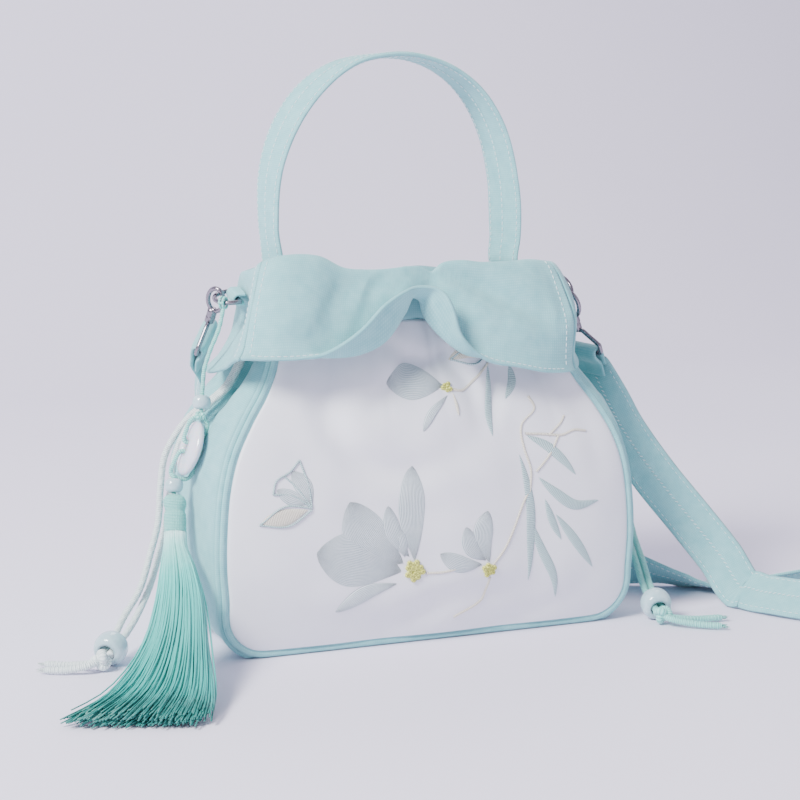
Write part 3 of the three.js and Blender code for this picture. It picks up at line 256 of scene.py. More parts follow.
def satin_face(tree):
    grain = times(tree, bands(tree, 1.1, "Y", 0.3), speckle(tree, 9.0))
    tint = between(tree, speckle(tree, 22.0, 2.0), "#E6E7F2", "#F3F4FA")
    return {"Base Color": tint, "Normal": bump(tree, grain, 0.05, 0.4)}


COTTON = material("aqua_cotton_woven", cotton_weave, Roughness=0.86, Sheen_Weight=0.25,
                  Specular_IOR_Level=0.3)
LINING = material("aqua_cotton_lining", lambda t: cotton_weave(t, "#6FA8AF", "#98CBCF"),
                  Roughness=0.9, Specular_IOR_Level=0.2)
SATIN = material("white_satin_woven", satin_face, Roughness=0.42, Sheen_Weight=0.15,
                 Specular_IOR_Level=0.45)


# %% [markdown]
# ## Thread, cord and silk
# Embroidery floss and braided cord are twisted fibre with a silky gloss. The
# fine lines of a satin stitch are bands on its texture coordinates.

# %% Thread materials
def floss(low, high, spacing, direction):
    def paint(tree):
        lines = combine(tree, bands(tree, spacing, direction, 0.5), 0.6, "POWER")
        share = combine(tree, times(tree, lines, 0.8), times(tree, speckle(tree, 4.0), 0.3))
        tint = between(tree, share, low, high)
        return {"Base Color": tint, "Normal": bump(tree, lines, 0.3, 0.9)}
    return paint


def thread(name, low, high, spacing=0.8, roughness=0.45, direction="Y"):
    paint = floss(low, high, spacing, direction)
    return material(name, paint, Roughness=roughness, Sheen_Weight=0.2)


PETAL = thread("petal_floss_blue_grey", "#8FABB6", "#E4ECF0", 1.6, 0.45, "X")
LEAF = thread("leaf_floss_grey_green", "#86ABB0", "#BFD6D8", 0.9)
STEM = thread("stem_floss_cream", "#D9D2C0", "#F1ECDD")
CENTRE = thread("centre_floss_yellow", "#BFC63C", "#E4E57C", 0.6)
STITCH = thread("sewing_thread_white", "#D5E6E8", "#F2F8F8", 0.5)
PALE_BRAID = thread("braided_cord_pale", "#CFE3E1", "#EDF7F5", 0.9, 0.5)
MINT_BRAID = thread("braided_cord_mint", "#5FC9BC", "#A5E8DE", 0.9, 0.4)


# %% [markdown]
# ## Tassel silk
# The tassel's threads were dip-dyed: pale mint at the wrap, deep teal at the cut
# ends. The second texture coordinate runs along each thread, so a colour ramp
# on it gives the dye line.

# %% Dip-dyed silk
def dipped(tree):
    along = node(tree, "ShaderNodeSeparateXYZ", {0: node(tree, "ShaderNodeUVMap").outputs[0]})
    uneven = combine(tree, along.outputs[1], times(tree, speckle(tree, 3.0), 0.16))
    ramp = node(tree, "ShaderNodeValToRGB", {0: uneven})
    stops = ramp.color_ramp.elements
    stops[0].position, stops[0].color = 0.05, colour("#D3F8F4")
    stops[1].position, stops[1].color = 1.10, colour("#157A72")
    for place, tone in ((0.22, "#A5EBE3"), (0.50, "#58D3C8"), (0.90, "#27B3A8")):
        stops.new(place).color = colour(tone)
    return {"Base Color": ramp.outputs[0]}


SILK = material("tassel_silk_dip_dyed", dipped, Roughness=0.42, Sheen_Weight=0.2)
WRAP_SILK = thread("tassel_wrap_silk_mint", "#5CC8BD", "#9FE6DD", 0.7, 0.26)

# %% [markdown]
# ## Glaze, stone and plated wire
# Fired glaze is glass over clay: smooth, with a sharp gloss and a slightly
# uneven tint. The milky stone lets light a little way in, so it gets
# subsurface scatter. The rings and hooks are die-cast and plated nickel-grey.

# %% Hard materials
def glaze(tree):
    return {"Base Color": between(tree, speckle(tree, 5.0), "#93B9C3", "#CFE4E8"),
            "Normal": bump(tree, speckle(tree, 6.0, 1.0), 0.15, 0.3)}


def milky(tree):
    return {"Base Color": between(tree, speckle(tree, 9.0), "#CBD2E2", "#EEF1F8")}


def plated(tree):
    polish = node(tree, "ShaderNodeMapRange", {0: speckle(tree, 1.5), 3: 0.18, 4: 0.36})
    return {"Roughness": polish.outputs[0]}


GLAZE = material("pale_blue_glaze_fired", glaze, Roughness=0.14, IOR=1.5, Coat_Weight=0.7,
                 Coat_Roughness=0.04)
JADE = material("milky_jade_polished", milky, Roughness=0.12, IOR=1.62, Subsurface_Weight=0.4,
                Subsurface_Scale=0.004, Coat_Weight=0.4, Coat_Roughness=0.05)
NICKEL = material("nickel_plated_zinc", plated, Base_Color=colour("#8F8992"), Metallic=1.0)
print("materials:", len(bpy.data.materials))

# %% [markdown]
# ## From points to a mesh
# A piece is a grid of points joined by four-sided faces, with a cap on an open
# end. One function makes the object, gives it its texture coordinates, lets it
# ride on the purse's one body and says which plain CAD nodes it stands for.

# %% Build a piece
def quads(rows, columns, ring_rows=False, ring_columns=False):
    i, j = np.meshgrid(np.arange(rows if ring_rows else rows - 1),
                       np.arange(columns if ring_columns else columns - 1), indexing="ij")
    k, m = (i + 1) % rows, (j + 1) % columns
    corners = [i * columns + j, k * columns + j, k * columns + m, i * columns + m]
    return np.stack(corners, -1).reshape(-1, 4)


def build(name, shape, finish, slot, stands_for=()):
    """An object from its shape: points, faces and texture coordinates."""
    points, faces, uv = shape
    mesh = bpy.data.meshes.new(name)
    mesh.from_pydata((np.asarray(points) * MM).tolist(), [], [list(map(int, f)) for f in faces])
    corner = np.empty(len(mesh.loops), np.int32)
    mesh.loops.foreach_get("vertex_index", corner)
    layer = mesh.uv_layers.new(name="millimetres")
    layer.data.foreach_set("uv", np.asarray(uv, np.float32)[corner].ravel())
    mesh.polygons.foreach_set("use_smooth", [True] * len(mesh.polygons))
    mesh.materials.append(finish)
    mesh.update()
    piece = bpy.data.objects.new(name, mesh)
    bpy.context.scene.collection.objects.link(piece)
    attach(piece, "root")
    if stands_for:
        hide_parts(*stands_for)
    return piece


# %% [markdown]
# ## Cloth with a thickness
# A sheet of cloth is a surface, the same surface one thickness below, and a
# rounded hem that closes the edge. Building the hem as a third row of points
# makes it catch the light, as a folded edge does.

# %% Cloth from a grid
def normals_of(grid, ring=False):
    if ring:
        du = np.roll(grid, -1, 0) - np.roll(grid, 1, 0)
    else:
        du = np.gradient(grid, axis=0)
    return unit(np.cross(du, np.gradient(grid, axis=1)))


def spread(grid):
    """Texture coordinates in millimetres: mean run across and up the grid."""
    u = np.r_[0, np.cumsum(np.linalg.norm(np.diff(grid, axis=0), axis=2).mean(1))]
    v = np.r_[0, np.cumsum(np.linalg.norm(np.diff(grid, axis=1), axis=2).mean(0))]
    return np.stack(np.meshgrid(u, v, indexing="ij"), -1).reshape(-1, 2)


def cloth(name, grid, thickness, finish, slot, stands_for, ring=False, hem=0.3):
    columns, rows = grid.shape[:2]
    under = grid - normals_of(grid, ring) * thickness
    count = columns * rows
    index = np.arange(count).reshape(columns, rows)
    if ring:
        edges = [(index[:, 0], index[:, 1]), (index[:, -1], index[:, -2])]
    else:
        around = np.concatenate([index[:-1, 0], index[-1, :-1], index[:0:-1, -1], index[0, :0:-1]])
        near = np.concatenate([index[:-1, 1], index[-2, :-1], index[:0:-1, -2], index[1, :0:-1]])
        edges = [(around, near)]
    top, low = grid.reshape(-1, 3), under.reshape(-1, 3)
    points, faces, uv = [top, low], [], [spread(grid)] * 2
    face = quads(columns, rows, ring_rows=ring)
    faces += [face, face[:, ::-1] + count]
    start = 2 * count
    for k, (edge, near) in enumerate(edges):
        middle = (top[edge] + low[edge]) / 2 + unit(top[edge] - top[near]) * hem
        points.append(middle)
        uv.append(uv[0][edge])
        a, b = edge, np.roll(edge, -1)
        m = start + np.arange(len(edge))
        n = np.roll(m, -1)
        strips = [np.stack([b, a, m, n], 1), np.stack([n, m, a + count, b + count], 1)]
        flip = ring and k == 1
        faces += [s[:, ::-1] if flip else s for s in strips]
        start += len(edge)
    shape = (np.concatenate(points), np.concatenate(faces), np.concatenate(uv))
    build(name, shape, finish, slot, stands_for)


# %% [markdown]
# ## Rounds swept along a line
# Cord, wire and thread are a round section carried along a line. The section
# must not spin on the way, so each station keeps the last one's side direction,
# turned as little as possible.

# %% Sweep a section along lines
GIRTH_UV = 6  # texture millimetres once round any tube


def frames(paths, facing):
    """Side directions along paths; each lies square to facing, if that is given."""
    along = unit(np.gradient(paths, axis=1))
    side = np.empty_like(paths)
    if facing is not None:
        side[:] = unit(np.cross(along, facing))
        return side, np.cross(along, side)
    guess = np.where(np.abs(along[:, :1, 2:]) > 0.9, [[[1.0, 0, 0]]], [[[0, 0, 1.0]]])[:, 0]
    for i in range(paths.shape[1]):
        t = along[:, i]
        guess = unit(guess - t * (guess * t).sum(1, keepdims=True))
        side[:, i] = guess
    return side, np.cross(along, side)


def sweep(paths, radius, sides, ring=False, facing=None):
    """The shape of tubes along paths; radius is one number, (n,) or (n, sides)."""
    paths = np.asarray(paths, float)
    paths = paths[None] if paths.ndim == 2 else paths
    if ring:
        run = np.concatenate([paths[:, -1:], paths, paths[:, :1]], 1)
        side, other = (a[:, 1:-1] for a in frames(run, facing))
    else:
        side, other = frames(paths, facing)
    turn, radius = circle(sides), np.asarray(radius, float)
    radius = radius[:, None] if radius.ndim == 1 else radius
    radius = np.broadcast_to(radius, paths.shape[:2] + (sides,))
    points = (paths[:, :, None] + side[:, :, None] * (np.cos(turn) * radius)[..., None]
              + other[:, :, None] * (np.sin(turn) * radius)[..., None])
    count, stations = paths.shape[:2]
    steps = np.linalg.norm(np.diff(paths, axis=1), axis=2)
    run = np.concatenate([np.zeros((count, 1)), np.cumsum(steps, 1)], 1)
    around = turn / 2 / np.pi * GIRTH_UV
    uv = np.stack(np.broadcast_arrays(around[None, None], run[:, :, None]), -1)
    face = quads(stations, sides, ring_rows=ring, ring_columns=True)
    size = stations * sides
    faces = (face[None] + (np.arange(count) * size)[:, None, None]).reshape(-1, 4).tolist()
    if not ring:
        cap = np.arange(sides)
        for k in range(count):
            faces.append((k * size + cap).tolist())
            faces.append((k * size + size - 1 - cap).tolist())
    return points.reshape(-1, 3), faces, uv.reshape(-1, 2)


def joined(parts):
    """Several shapes as one."""
    points, faces, uv, start = [], [], [], 0
    for p, f, t in parts:
        points.append(p)
        faces += [[int(i) + start for i in face] for face in f]
        uv.append(t)
        start += len(p)
    return np.concatenate(points), faces, np.concatenate(uv)


# %% [markdown]
# ## Drawstrings come first
# Each side of the purse has a pair of braided cords that leave the casing, go
# through one glazed bead and end in a knot with two frayed tails. A cord is a
# fixed length of something limp, so its route is settled before anything else.

# %% Cord sizes and routes
CORD_RADIUS = 1.75
BEAD_RADIUS, BEAD_HALF, BEAD_BORE = 8.0, 5.4, 4.1
KNOT_RADIUS = 5.2
SEAT = 0.35
LEFT = dict(
    side="left", slot="pale_cord", finish=PALE_BRAID, bead=(-157.8, -30.2, 8.5),
    axis=(-0.58, -0.78, -0.24),
    route=[
        (-77, 2, 157), (-77.6, 2, 153.5), (-79.5, 2, 147), (-82, 3, 140), (-86, 4, 131),
        (-91, 4.5, 123.5), (-99.6, 5, 116.4), (-107, 6, 110.6), (-114, 6, 101.6), (-119, 6, 91),
        (-121.4, 5.5, 77), (-124, 3, 60), (-128.8, 0, 45), (-135.4, -5.5, 29.5),
        (-144.7, -13, 17.5), (-150, -19, 12.4),
    ],
    apart=[(0, 2)] * 6 + [
        (-0.2, 2), (-0.6, 2), (-1.4, 2), (-2.2, 1.6), (-2.8, -0.8), (-2.8, -2.6), (-3.1, -3),
        (-3.1, -2.5), (-3, 0.5), (-2.2, 1.4),
    ],
    tails=[[(-169, -38, 4.6), (-178, -31, 2.6), (-187.5, -24, 2.3)],
           [(-170, -41, 4.4), (-180, -38, 2.5), (-189.5, -33.5, 2.3)]])
RIGHT = dict(
    side="right", slot="mint_cord", finish=MINT_BRAID, bead=(120.8, -53.7, 8.5),
    axis=(-0.20, -0.93, -0.30),
    route=[
        (77, 0, 157), (78.2, 0, 153), (79.4, 0, 147), (83, 0, 138), (89, 0, 125), (98.5, -1, 112),
        (109, -3, 101), (115.5, -7, 88), (120, -10, 68), (126, -11, 46), (126.3, -17, 35),
        (124.6, -29, 25), (122.4, -41, 15),
    ],
    apart=[(0, 2)] * 6 + [(0.4, 2), (0.8, 2), (1.4, 1.8), (2.4, 1), (2, 0), (2, 0), (2, 0)],
    tails=[[(121, -66, 4.6), (134, -68, 2.6), (150, -70, 2.3)],
           [(120, -69, 4.4), (130, -77, 2.6), (141.5, -84, 2.3)]])


def strand_line(cord, sign):
    """The middle line of one strand, through its side of the bead."""
    along, middle = unit(np.array(cord["axis"])), np.array(cord["bead"])
    across = np.array([*cord["apart"][-1], 0.0])
    across = unit(across - along * (across @ along)) * (CORD_RADIUS + SEAT / 2)
    points = [np.array(place) + np.array([*off, 0]) * sign
              for place, off in zip(cord["route"], cord["apart"])]
    points += [middle + along * share * (BEAD_HALF + SEAT) + across * sign for share in (-1, 1)]
    return np.array(points, float)


# %% [markdown]
# ## A braid in the round
# Eight yarns cross over each other round the cord. Two sets of ridges wound
# opposite ways give that pattern as real relief: a ridge stands where either
# set is high. The pitch is 5 mm, as on a 3.5 mm craft cord.

# %% Braided strands
BRAID_STEP, BRAID_RELIEF = 0.7, 0.11


def braid(line, radius, sides=16, pitch=5.0, yarns=4):
    stations = max(int(line_length(line) / BRAID_STEP), 12)
    path = evenly(line, stations)
    along = np.linspace(0, line_length(path), stations)[:, None] / pitch * 2 * np.pi
    turn = yarns * circle(sides)
    ridge = np.maximum(np.cos(turn + along), np.cos(turn - along))
    return path, sweep(path, radius * (1 - BRAID_RELIEF + BRAID_RELIEF * ridge), sides)


strands = {}
for cord in (LEFT, RIGHT):
    for letter, sign in (("a", 1), ("b", -1)):
        path, shape = braid(strand_line(cord, sign), CORD_RADIUS)
        name = f"{cord['side']}_{letter}"
        piece = build(f"braid_{name}", shape, cord["finish"], cord["slot"], [f"drawstring_{name}"])
        strands[name] = (piece, path)
        print("strand", name, round(line_length(path)), "mm")


# %% [markdown]
# ## Glazed beads
# A bead is thrown or pressed round and drilled through, then glazed, which
# rounds every edge. It is its half outline turned round the bore.

# %% Turned beads
BEAD_SIDES, BEAD_ARC = 64, 26


def crossing(v):
    """The matrix that does what a cross product with v does."""
    return np.array([[0, -v[2], v[1]], [v[2], 0, -v[0]], [-v[1], v[0], 0]])


def turned_to(axis):
    """Rotation that takes +Y to an axis, as a matrix."""
    a, b = np.array([0, 1.0, 0]), unit(np.array(axis, float))
    k = crossing(np.cross(a, b))
    return np.eye(3) + k + k @ k / (1 + float(a @ b))


def bead(name, centre, axis, radius, half, bore, finish, slot, stands_for):
    angle = np.linspace(-np.pi / 2, np.pi / 2, BEAD_ARC)
    out = bore + (radius - bore) * np.cos(angle).clip(0) ** 0.7
    inside = [[bore, half * 0.4], [bore, -half * 0.4]]
    outline = np.r_[np.stack([out, half * np.sin(angle)], 1), inside]
    turn = circle(BEAD_SIDES)
    points = np.stack([outline[None, :, 0] * np.cos(turn)[:, None],
                       np.broadcast_to(outline[:, 1], (BEAD_SIDES, len(outline))),
                       outline[None, :, 0] * np.sin(turn)[:, None]], -1).reshape(-1, 3)
    points = points @ turned_to(axis).T + centre
    faces = quads(BEAD_SIDES, len(outline), ring_rows=True, ring_columns=True)
    return build(name, (points, faces, points[:, :2]), finish, slot, stands_for)


beads = {}
for cord in (LEFT, RIGHT):
    side = cord["side"]
    beads[side] = bead(f"glazed_bead_{side}", cord["bead"], cord["axis"], BEAD_RADIUS, BEAD_HALF,
                       BEAD_BORE, GLAZE, "bead", [f"drawstring_bead_{side}"])
print("beads:", list(beads))


# %% [markdown]
# ## Knots and frayed tails
# The cords end in one tied knot. A trefoil is the simplest real knot line, so
# the cord is swept along it, a little flattened. The tails show tight ribs, and
# the cut ends open into loose fibre.

# %% Knots
rng = np.random.default_rng(7)
KNOT_CORD = 1.9
TAIL_STATIONS, TAIL_RIBS, FRAY_FIBRES, FRAY_LENGTH = 90, 17, 26, 3.2
FIBRE_FLOOR = 0.5  # loose fibres lie this high on the floor


def knot_line(centre, radius, cord_radius, axis):
    t = circle(160)
    line = np.stack([np.sin(t) + 2 * np.sin(2 * t), -1.3 * np.sin(3 * t),
                     np.cos(t) - 2 * np.cos(2 * t)], 1)
    return line * (radius - cord_radius) / 3 @ turned_to(axis).T + centre


def fray(tip, along, count, length, width):
    """Loose fibres that open out from a cut end."""
    starts = tip + rng.normal(0, width * 0.35, (count, 3)) * [1, 1, 0.6]
    aim = unit(along + rng.normal(0, 0.28, (count, 3)) * [1, 1, 0.25])
    step = np.linspace(0, 1, 5)[None, :, None]
    lines = starts[:, None] + aim[:, None] * length * step * rng.uniform(0.6, 1.1, (count, 1, 1))
    lines[..., 2] = np.maximum(lines[..., 2], FIBRE_FLOOR)
    return sweep(lines, np.linspace(0.16, 0.09, 5), 3)


knots = {}
for cord in (LEFT, RIGHT):
    side, along = cord["side"], unit(np.array(cord["axis"]))
    middle = np.array(cord["bead"]) + along * (BEAD_HALF + 2 * SEAT + KNOT_RADIUS)
    middle[2] = max(middle[2], KNOT_RADIUS + SEAT)
    parts = [sweep(knot_line(middle, KNOT_RADIUS, KNOT_CORD, along), KNOT_CORD, 12, ring=True)]
    for tail in cord["tails"]:
        line = evenly(np.array([middle, *tail], float), TAIL_STATIONS)
        wave = np.cos(np.linspace(0, 2 * np.pi * TAIL_RIBS, TAIL_STATIONS))
        ribs = CORD_RADIUS * (0.93 + 0.07 * wave)
        ribs[-6:] *= np.linspace(1, 0.8, 6)
        end = unit(line[-1] - line[-3])
        parts += [sweep(line, ribs, 12), fray(line[-1], end, FRAY_FIBRES, FRAY_LENGTH, CORD_RADIUS)]
    knots[side] = build(f"tied_knot_{side}", joined(parts), cord["finish"], cord["slot"],
                        [f"drawstring_knot_{side}"])
print("knots:", list(knots))

def declare_cord(piece, path, radius, carried):
    """For a limp cord that hangs from the purse and ends in a knot: works out its length and points
    in metres, and keeps neither.
    """
    round(line_length(path) * MM, 3)
    [tuple(p * MM) for p in path]


for cord in (LEFT, RIGHT):
    side = cord["side"]
    for letter, carried in (("a", [beads[side], knots[side]]), ("b", [])):
        declare_cord(*strands[f"{side}_{letter}"], CORD_RADIUS, carried)
print("cords declared:", len(strands))

# %% [markdown]
# ## The seam that everything hangs on
# Two satin faces and one long gusset strip meet at a piped seam. The seam's
# outline is wide at the base and drawn in at the neck; every cloth piece of the
# body is worked out from it, so that they meet without gaps.

# %% Body outline
HALF_WIDTH, HALF_DEPTH, NECK_HEIGHT = 108.0, 47.5, 157.0
CORNER, CLOTH, PIPING = 20.0, 1.8, 1.4
SEAM_FLOOR = PIPING + SEAT
WALL_GAP = PIPING + SEAT + 0.35  # from the seam's line to the edge of a cloth wall
SIDE_UP = [0, 0.18, 0.29, 0.40, 0.53, 0.63, 0.72, 0.81, 0.90, 1.0]
SIDE_OUT = [0.740, 0.991, 1.0, 0.995, 0.972, 0.926, 0.852, 0.762, 0.703, 0.685]
SIDE_DEEP = [0.95, 1.0, 1.0, 0.99, 0.96, 0.90, 0.82, 0.72, 0.62, 0.50]


def seam_depth(z):
    return HALF_DEPTH * follow(SIDE_UP, SIDE_DEEP, np.asarray(z) / NECK_HEIGHT)


corner_x = HALF_WIDTH * SIDE_OUT[1] - CORNER
half_seam = [(corner_x * k, 0, SEAM_FLOOR) for k in (0, 0.5, 0.92)]
half_seam += [(corner_x + CORNER * math.sin(a), 0, SEAM_FLOOR + CORNER * (1 - math.cos(a)))
              for a in np.linspace(0, math.pi / 2, 6)]
half_seam += [(HALF_WIDTH * out, 0, NECK_HEIGHT * up) for up, out in zip(SIDE_UP, SIDE_OUT)
              if up * NECK_HEIGHT > CORNER + 8]
seam_line = evenly(np.array(half_seam, float), 1200)
seam_length = line_length(seam_line)
BASE_SHARE = corner_x * 0.98 / seam_length
print("half seam", round(seam_length), "mm")


def seam(share, inset=0.0):
    """Seam points and outward directions at signed shares, 0 in mid base."""
    reach = np.minimum(np.abs(share), 1)
    at = np.linspace(0, 1, len(seam_line))
    along = unit(np.gradient(seam_line, axis=0))
    point, t = read_off(reach, at, seam_line), read_off(reach, at, along)
    out = np.stack([t[..., 2], 0 * t[..., 0], -t[..., 0]], -1)
    point = point - out * np.asarray(inset)[..., None]
    point[..., 2] = np.maximum(point[..., 2], SEAM_FLOOR + np.asarray(inset))
    same = np.ones(reach.shape)
    flip = np.stack([np.where(np.asarray(share) < 0, -1.0, 1.0), same, same], -1)
    return point * flip, out * flip


# %% [markdown]
# ## The satin faces
# The face is one flat cut, full in the middle and gathered at the neck, so it
# swells below and folds above. Folds are soft valleys that fade out downwards,
# with narrower creases that run from under the lifted collar.

# %% Face surface
FULL_UP = [0, 0.08, 0.22, 0.45, 0.66, 0.80, 0.92, 1.0]
FULL_PANEL = [0, 0.55, 0.95, 1.0, 0.80, 0.60, 0.35, 0.15]
FULL_GUSSET = [0, 0.15, 0.45, 0.65, 1.0, 0.75, 0.35, 0.10]
VALLEY = [0, 0, 0, 0.08, 0.55, 1.0, 0.80, 0.25]
PANEL_PUFF, PANEL_FOLD, GUSSET_PUFF, GUSSET_VALLEY = 9.0, 2.6, 7.0, 15.0
# place, width, depth, foot, lean: place and width in half widths, foot in neck heights
FOLDS = [
    (-0.50, 0.07, 1.00, 0.50, -0.16), (-0.27, 0.06, 0.75, 0.62, -0.06),
    (-0.08, 0.05, 0.90, 0.70, 0.0), (0.12, 0.06, 0.80, 0.66, 0.08), (0.36, 0.06, 0.90, 0.58, 0.14),
    (0.55, 0.06, 0.70, 0.55, 0.18),
]
CREASES = [
    (-0.42, 0.022, 0.32, 0.55, -0.30), (-0.19, 0.020, 0.30, 0.60, -0.10),
    (0.04, 0.020, 0.36, 0.62, 0.06), (0.24, 0.022, 0.40, 0.56, 0.20),
    (0.31, 0.018, 0.30, 0.66, 0.10), (0.50, 0.022, 0.30, 0.50, 0.34),
]
shares = np.linspace(BASE_SHARE, 1, 600)
inset_seam = seam(shares, np.full(600, WALL_GAP))[0]
inset_seam[-1, 2] = NECK_HEIGHT
# the flat stretch at the foot is one row, so that no row is doubled
inset_seam = inset_seam[np.flatnonzero(inset_seam[:, 2] <= inset_seam[0, 2] + 0.01)[-1]:]

# soft valleys along lines of (x, z) places: depth and width in millimetres
VALLEYS = [
    ([(-52, 146), (-55, 118), (-46, 97), (-22, 86), (6, 90)], 2.6, 8.0),
    ([(39, 142), (37, 126), (30, 108)], 2.2, 5.0), ([(-2, 146), (-14, 130), (-34, 118)], 1.8, 6.0),
    ([(8, 146), (20, 128), (24, 104)], 1.8, 6.0),
    ([(-66, 20), (-30, 10), (12, 24), (48, 22)], 1.6, 8.0),
    ([(70, 128), (84, 104), (90, 74)], 1.6, 7.0), ([(-84, 100), (-62, 92), (-40, 70)], 1.0, 9.0),
    ([(10, 12), (40, 8), (78, 18)], 1.2, 6.0),
    ([(-20, 150), (-8, 138), (10, 138), (22, 150)], 2.0, 6.0),
]
VALLEY_GAIN = 1.9
VALLEY_FADE = (0.25, 2.9)  # radians of a sine: how a valley starts and ends


def upright(places):
    """(x, z) places as points in the plane y = 0."""
    return np.array([(x, 0, z) for x, z in places], float)


valley_lines = [(spline(upright(places), np.linspace(0, 1, 40)), deep, width)
                for places, deep, width in VALLEYS]


def face_depth(x, z):
    """How far the face stands out at a place, in millimetres."""
    up = z / NECK_HEIGHT
    across = np.clip(x / np.interp(z, inset_seam[:, 2], inset_seam[:, 0]), -1, 1)
    dip = 0
    for place, width, depth, foot, lean in FOLDS + CREASES:
        off = (x - HALF_WIDTH * (place + lean * (1 - up))) / (HALF_WIDTH * width)
        dip = dip + PANEL_FOLD * depth * smooth(up, foot, 1) * np.exp(-off * off)
    for line, deep, width in valley_lines:
        fade = np.sin(np.linspace(*VALLEY_FADE, len(line)))
        far = (x[..., None] - line[:, 0])**2 + (z[..., None] - line[:, 2])**2
        dip = dip + VALLEY_GAIN * deep * (np.exp(-far / width**2) * fade).max(-1)
    slack = 1.5 * ripple(np.stack([x, z, 0 * x], -1), 95)
    slack = slack + 0.55 * ripple(np.stack([z, x, 0 * x], -1), 38)
    full = PANEL_PUFF * follow(FULL_UP, FULL_PANEL, up)
    crown = (1 - across**2).clip(0) ** 0.7
    return seam_depth(z) + CLOTH / 2 + crown * (full - dip + slack * smooth(up, 0.02, 0.2))


def face_grid(columns, rows, facing):
    at = np.linspace(0, len(inset_seam) - 1, rows)
    half, z = (np.interp(at, np.arange(len(inset_seam)), inset_seam[:, k]) for k in (0, 2))
    u = np.linspace(-1, 1, columns) * (1 if facing < 0 else -1)
    x = u[:, None] * half[None]
    zz = np.broadcast_to(z, x.shape)
    return np.stack([x, facing * face_depth(x, zz), zz], -1)


cloth("satin_front", face_grid(150, 150, -1), CLOTH, SATIN, "satin", ["front_panel"])
cloth("satin_back", face_grid(110, 110, 1), CLOTH, SATIN, "satin", ["back_panel"])
print("face stands out to", round(float(face_depth(np.zeros(1), np.array([70.0]))[0]), 1), "mm")

# %% [markdown]
# ## The gusset
# One strip runs down a side, under the base and up the other side. It is folded
# inward along its middle where the neck draws it in, the way a paper bag's side
# folds. Small cross wrinkles come from the cloth being squeezed there.

# %% Gusset strip
GUSSET_REACH = 0.985


def gusset_grid(columns, rows):
    share = GUSSET_REACH * np.linspace(-1, 1, columns)[:, None] * np.ones((1, rows))
    across = np.linspace(1, -1, rows)[None] * np.ones((columns, 1))
    point, out = seam(share)
    up = point[..., 2] / NECK_HEIGHT
    side = smooth(np.abs(share), BASE_SHARE, BASE_SHARE + 0.2)
    puff = GUSSET_PUFF * follow(FULL_UP, FULL_GUSSET, up) * (1 - across**4)
    valley = GUSSET_VALLEY * follow(FULL_UP, VALLEY, up) * np.exp(-((across / 0.38) ** 2))
    wrinkle = 0.7 * ripple(np.stack([point[..., 2] * 2.2, across * 14, share * 0], -1), 26)
    wrinkle *= smooth(up, 0.3, 0.6) * (1 - smooth(up, 0.85, 0.95)) * (1 - across**2)
    half = seam_depth(point[..., 2]) - WALL_GAP
    point = point + out * (SEAM_FLOOR + side * (CLOTH + puff - valley + wrinkle))[..., None]
    return np.stack([point[..., 0], half * across, point[..., 2].clip(0)], -1)


cloth("cotton_gusset", gusset_grid(220, 40), CLOTH, COTTON, "aqua_cloth", ["gusset"])
print("gusset reaches", round(GUSSET_REACH * seam_length), "mm up from mid base")

# %% [markdown]
# ## Piping
# Piping is a cord wrapped in bias-cut cloth and caught in the seam. It hides
# the join and stiffens the edge. A plain sweep along the seam, very slightly
# uneven, is enough; two more rounds behind it are the seam allowances.

# %% Piping
PIPING_STATIONS = 240
# inset from the seam, set back behind it, radius
ALLOWANCES = [(1.3, 1.5, 2.1), (-1.7, 2.0, 1.55)]
step = np.arange(PIPING_STATIONS)
swell = PIPING * (0.97 + 0.03 * np.sin(step * 1.1) * np.sin(step * 0.37))


def seam_round(facing, end, inset, back_by, low):
    """A line along the seam of one face, from share -end to end."""
    at = seam(np.linspace(-end, end, PIPING_STATIONS), np.full(PIPING_STATIONS, inset))[0]
    return np.stack([at[:, 0], facing * (seam_depth(at[:, 2]) - back_by), at[:, 2].clip(low)], -1)


for name, facing in (("front", -1), ("back", 1)):
    rounds = [sweep(seam_round(facing, 0.999, 0.0, 0, 0), swell, 12)]
    rounds += [sweep(seam_round(facing, 0.98, inset, back_by, size + 0.3), size, 16)
               for inset, back_by, size in ALLOWANCES]
    build(f"cotton_piping_{name}", joined(rounds), COTTON, "aqua_cloth", [f"{name}_piping"])
print("piping rounds on each face:", len(rounds))

# %% [markdown]
# ## The casing
# The drawstrings run in a hemmed band at the neck. It is hidden under the
# collar except below the arch, where its gathers show.

# %% Casing band
NECK_WIDTH, NECK_DEPTH, ROUNDNESS, CASING = 75.0, 22.0, 3.4, 14.0
CASING_TOP = NECK_HEIGHT + SEAT + CASING


def neck_rim(turn, grow):
    power = 2 / ROUNDNESS
    return [(size + grow) * np.sign(wave) * np.abs(wave)**power
            for size, wave in ((NECK_WIDTH, np.cos(turn)), (NECK_DEPTH, np.sin(turn)))]


CASING_COLUMNS, CASING_ROWS, GATHERS, GATHER_SHARE = 200, 9, 46, 0.006
turn = -circle(CASING_COLUMNS)
x, y = neck_rim(turn, CLOTH)
gather = 1 - GATHER_SHARE * (0.5 + 0.5 * np.sin(turn * GATHERS))
ring = np.stack([x * gather, y * gather], -1)[:, None] * np.ones((1, CASING_ROWS, 1))
height = np.linspace(CASING_TOP, NECK_HEIGHT + SEAT, CASING_ROWS)
height = height[None, :, None] * np.ones((CASING_COLUMNS, 1, 1))
cloth("cotton_casing", np.concatenate([ring, height], -1), CLOTH, LINING, "aqua_cloth",
      ["drawstring_casing"], ring=True)
print("casing is", CASING, "mm high")

# %% [markdown]
# ## The collar
# The collar is the purse's top edge turned down like a shirt collar. Each
# station round the neck has a profile: up inside the neck, over the crest, down
# to the fold, and turned up to the free rim. In front it is lifted to an arch.
# A loft through these profiles holds the arch where the photograph has it. A
# cloth simulation would let it settle somewhere else.

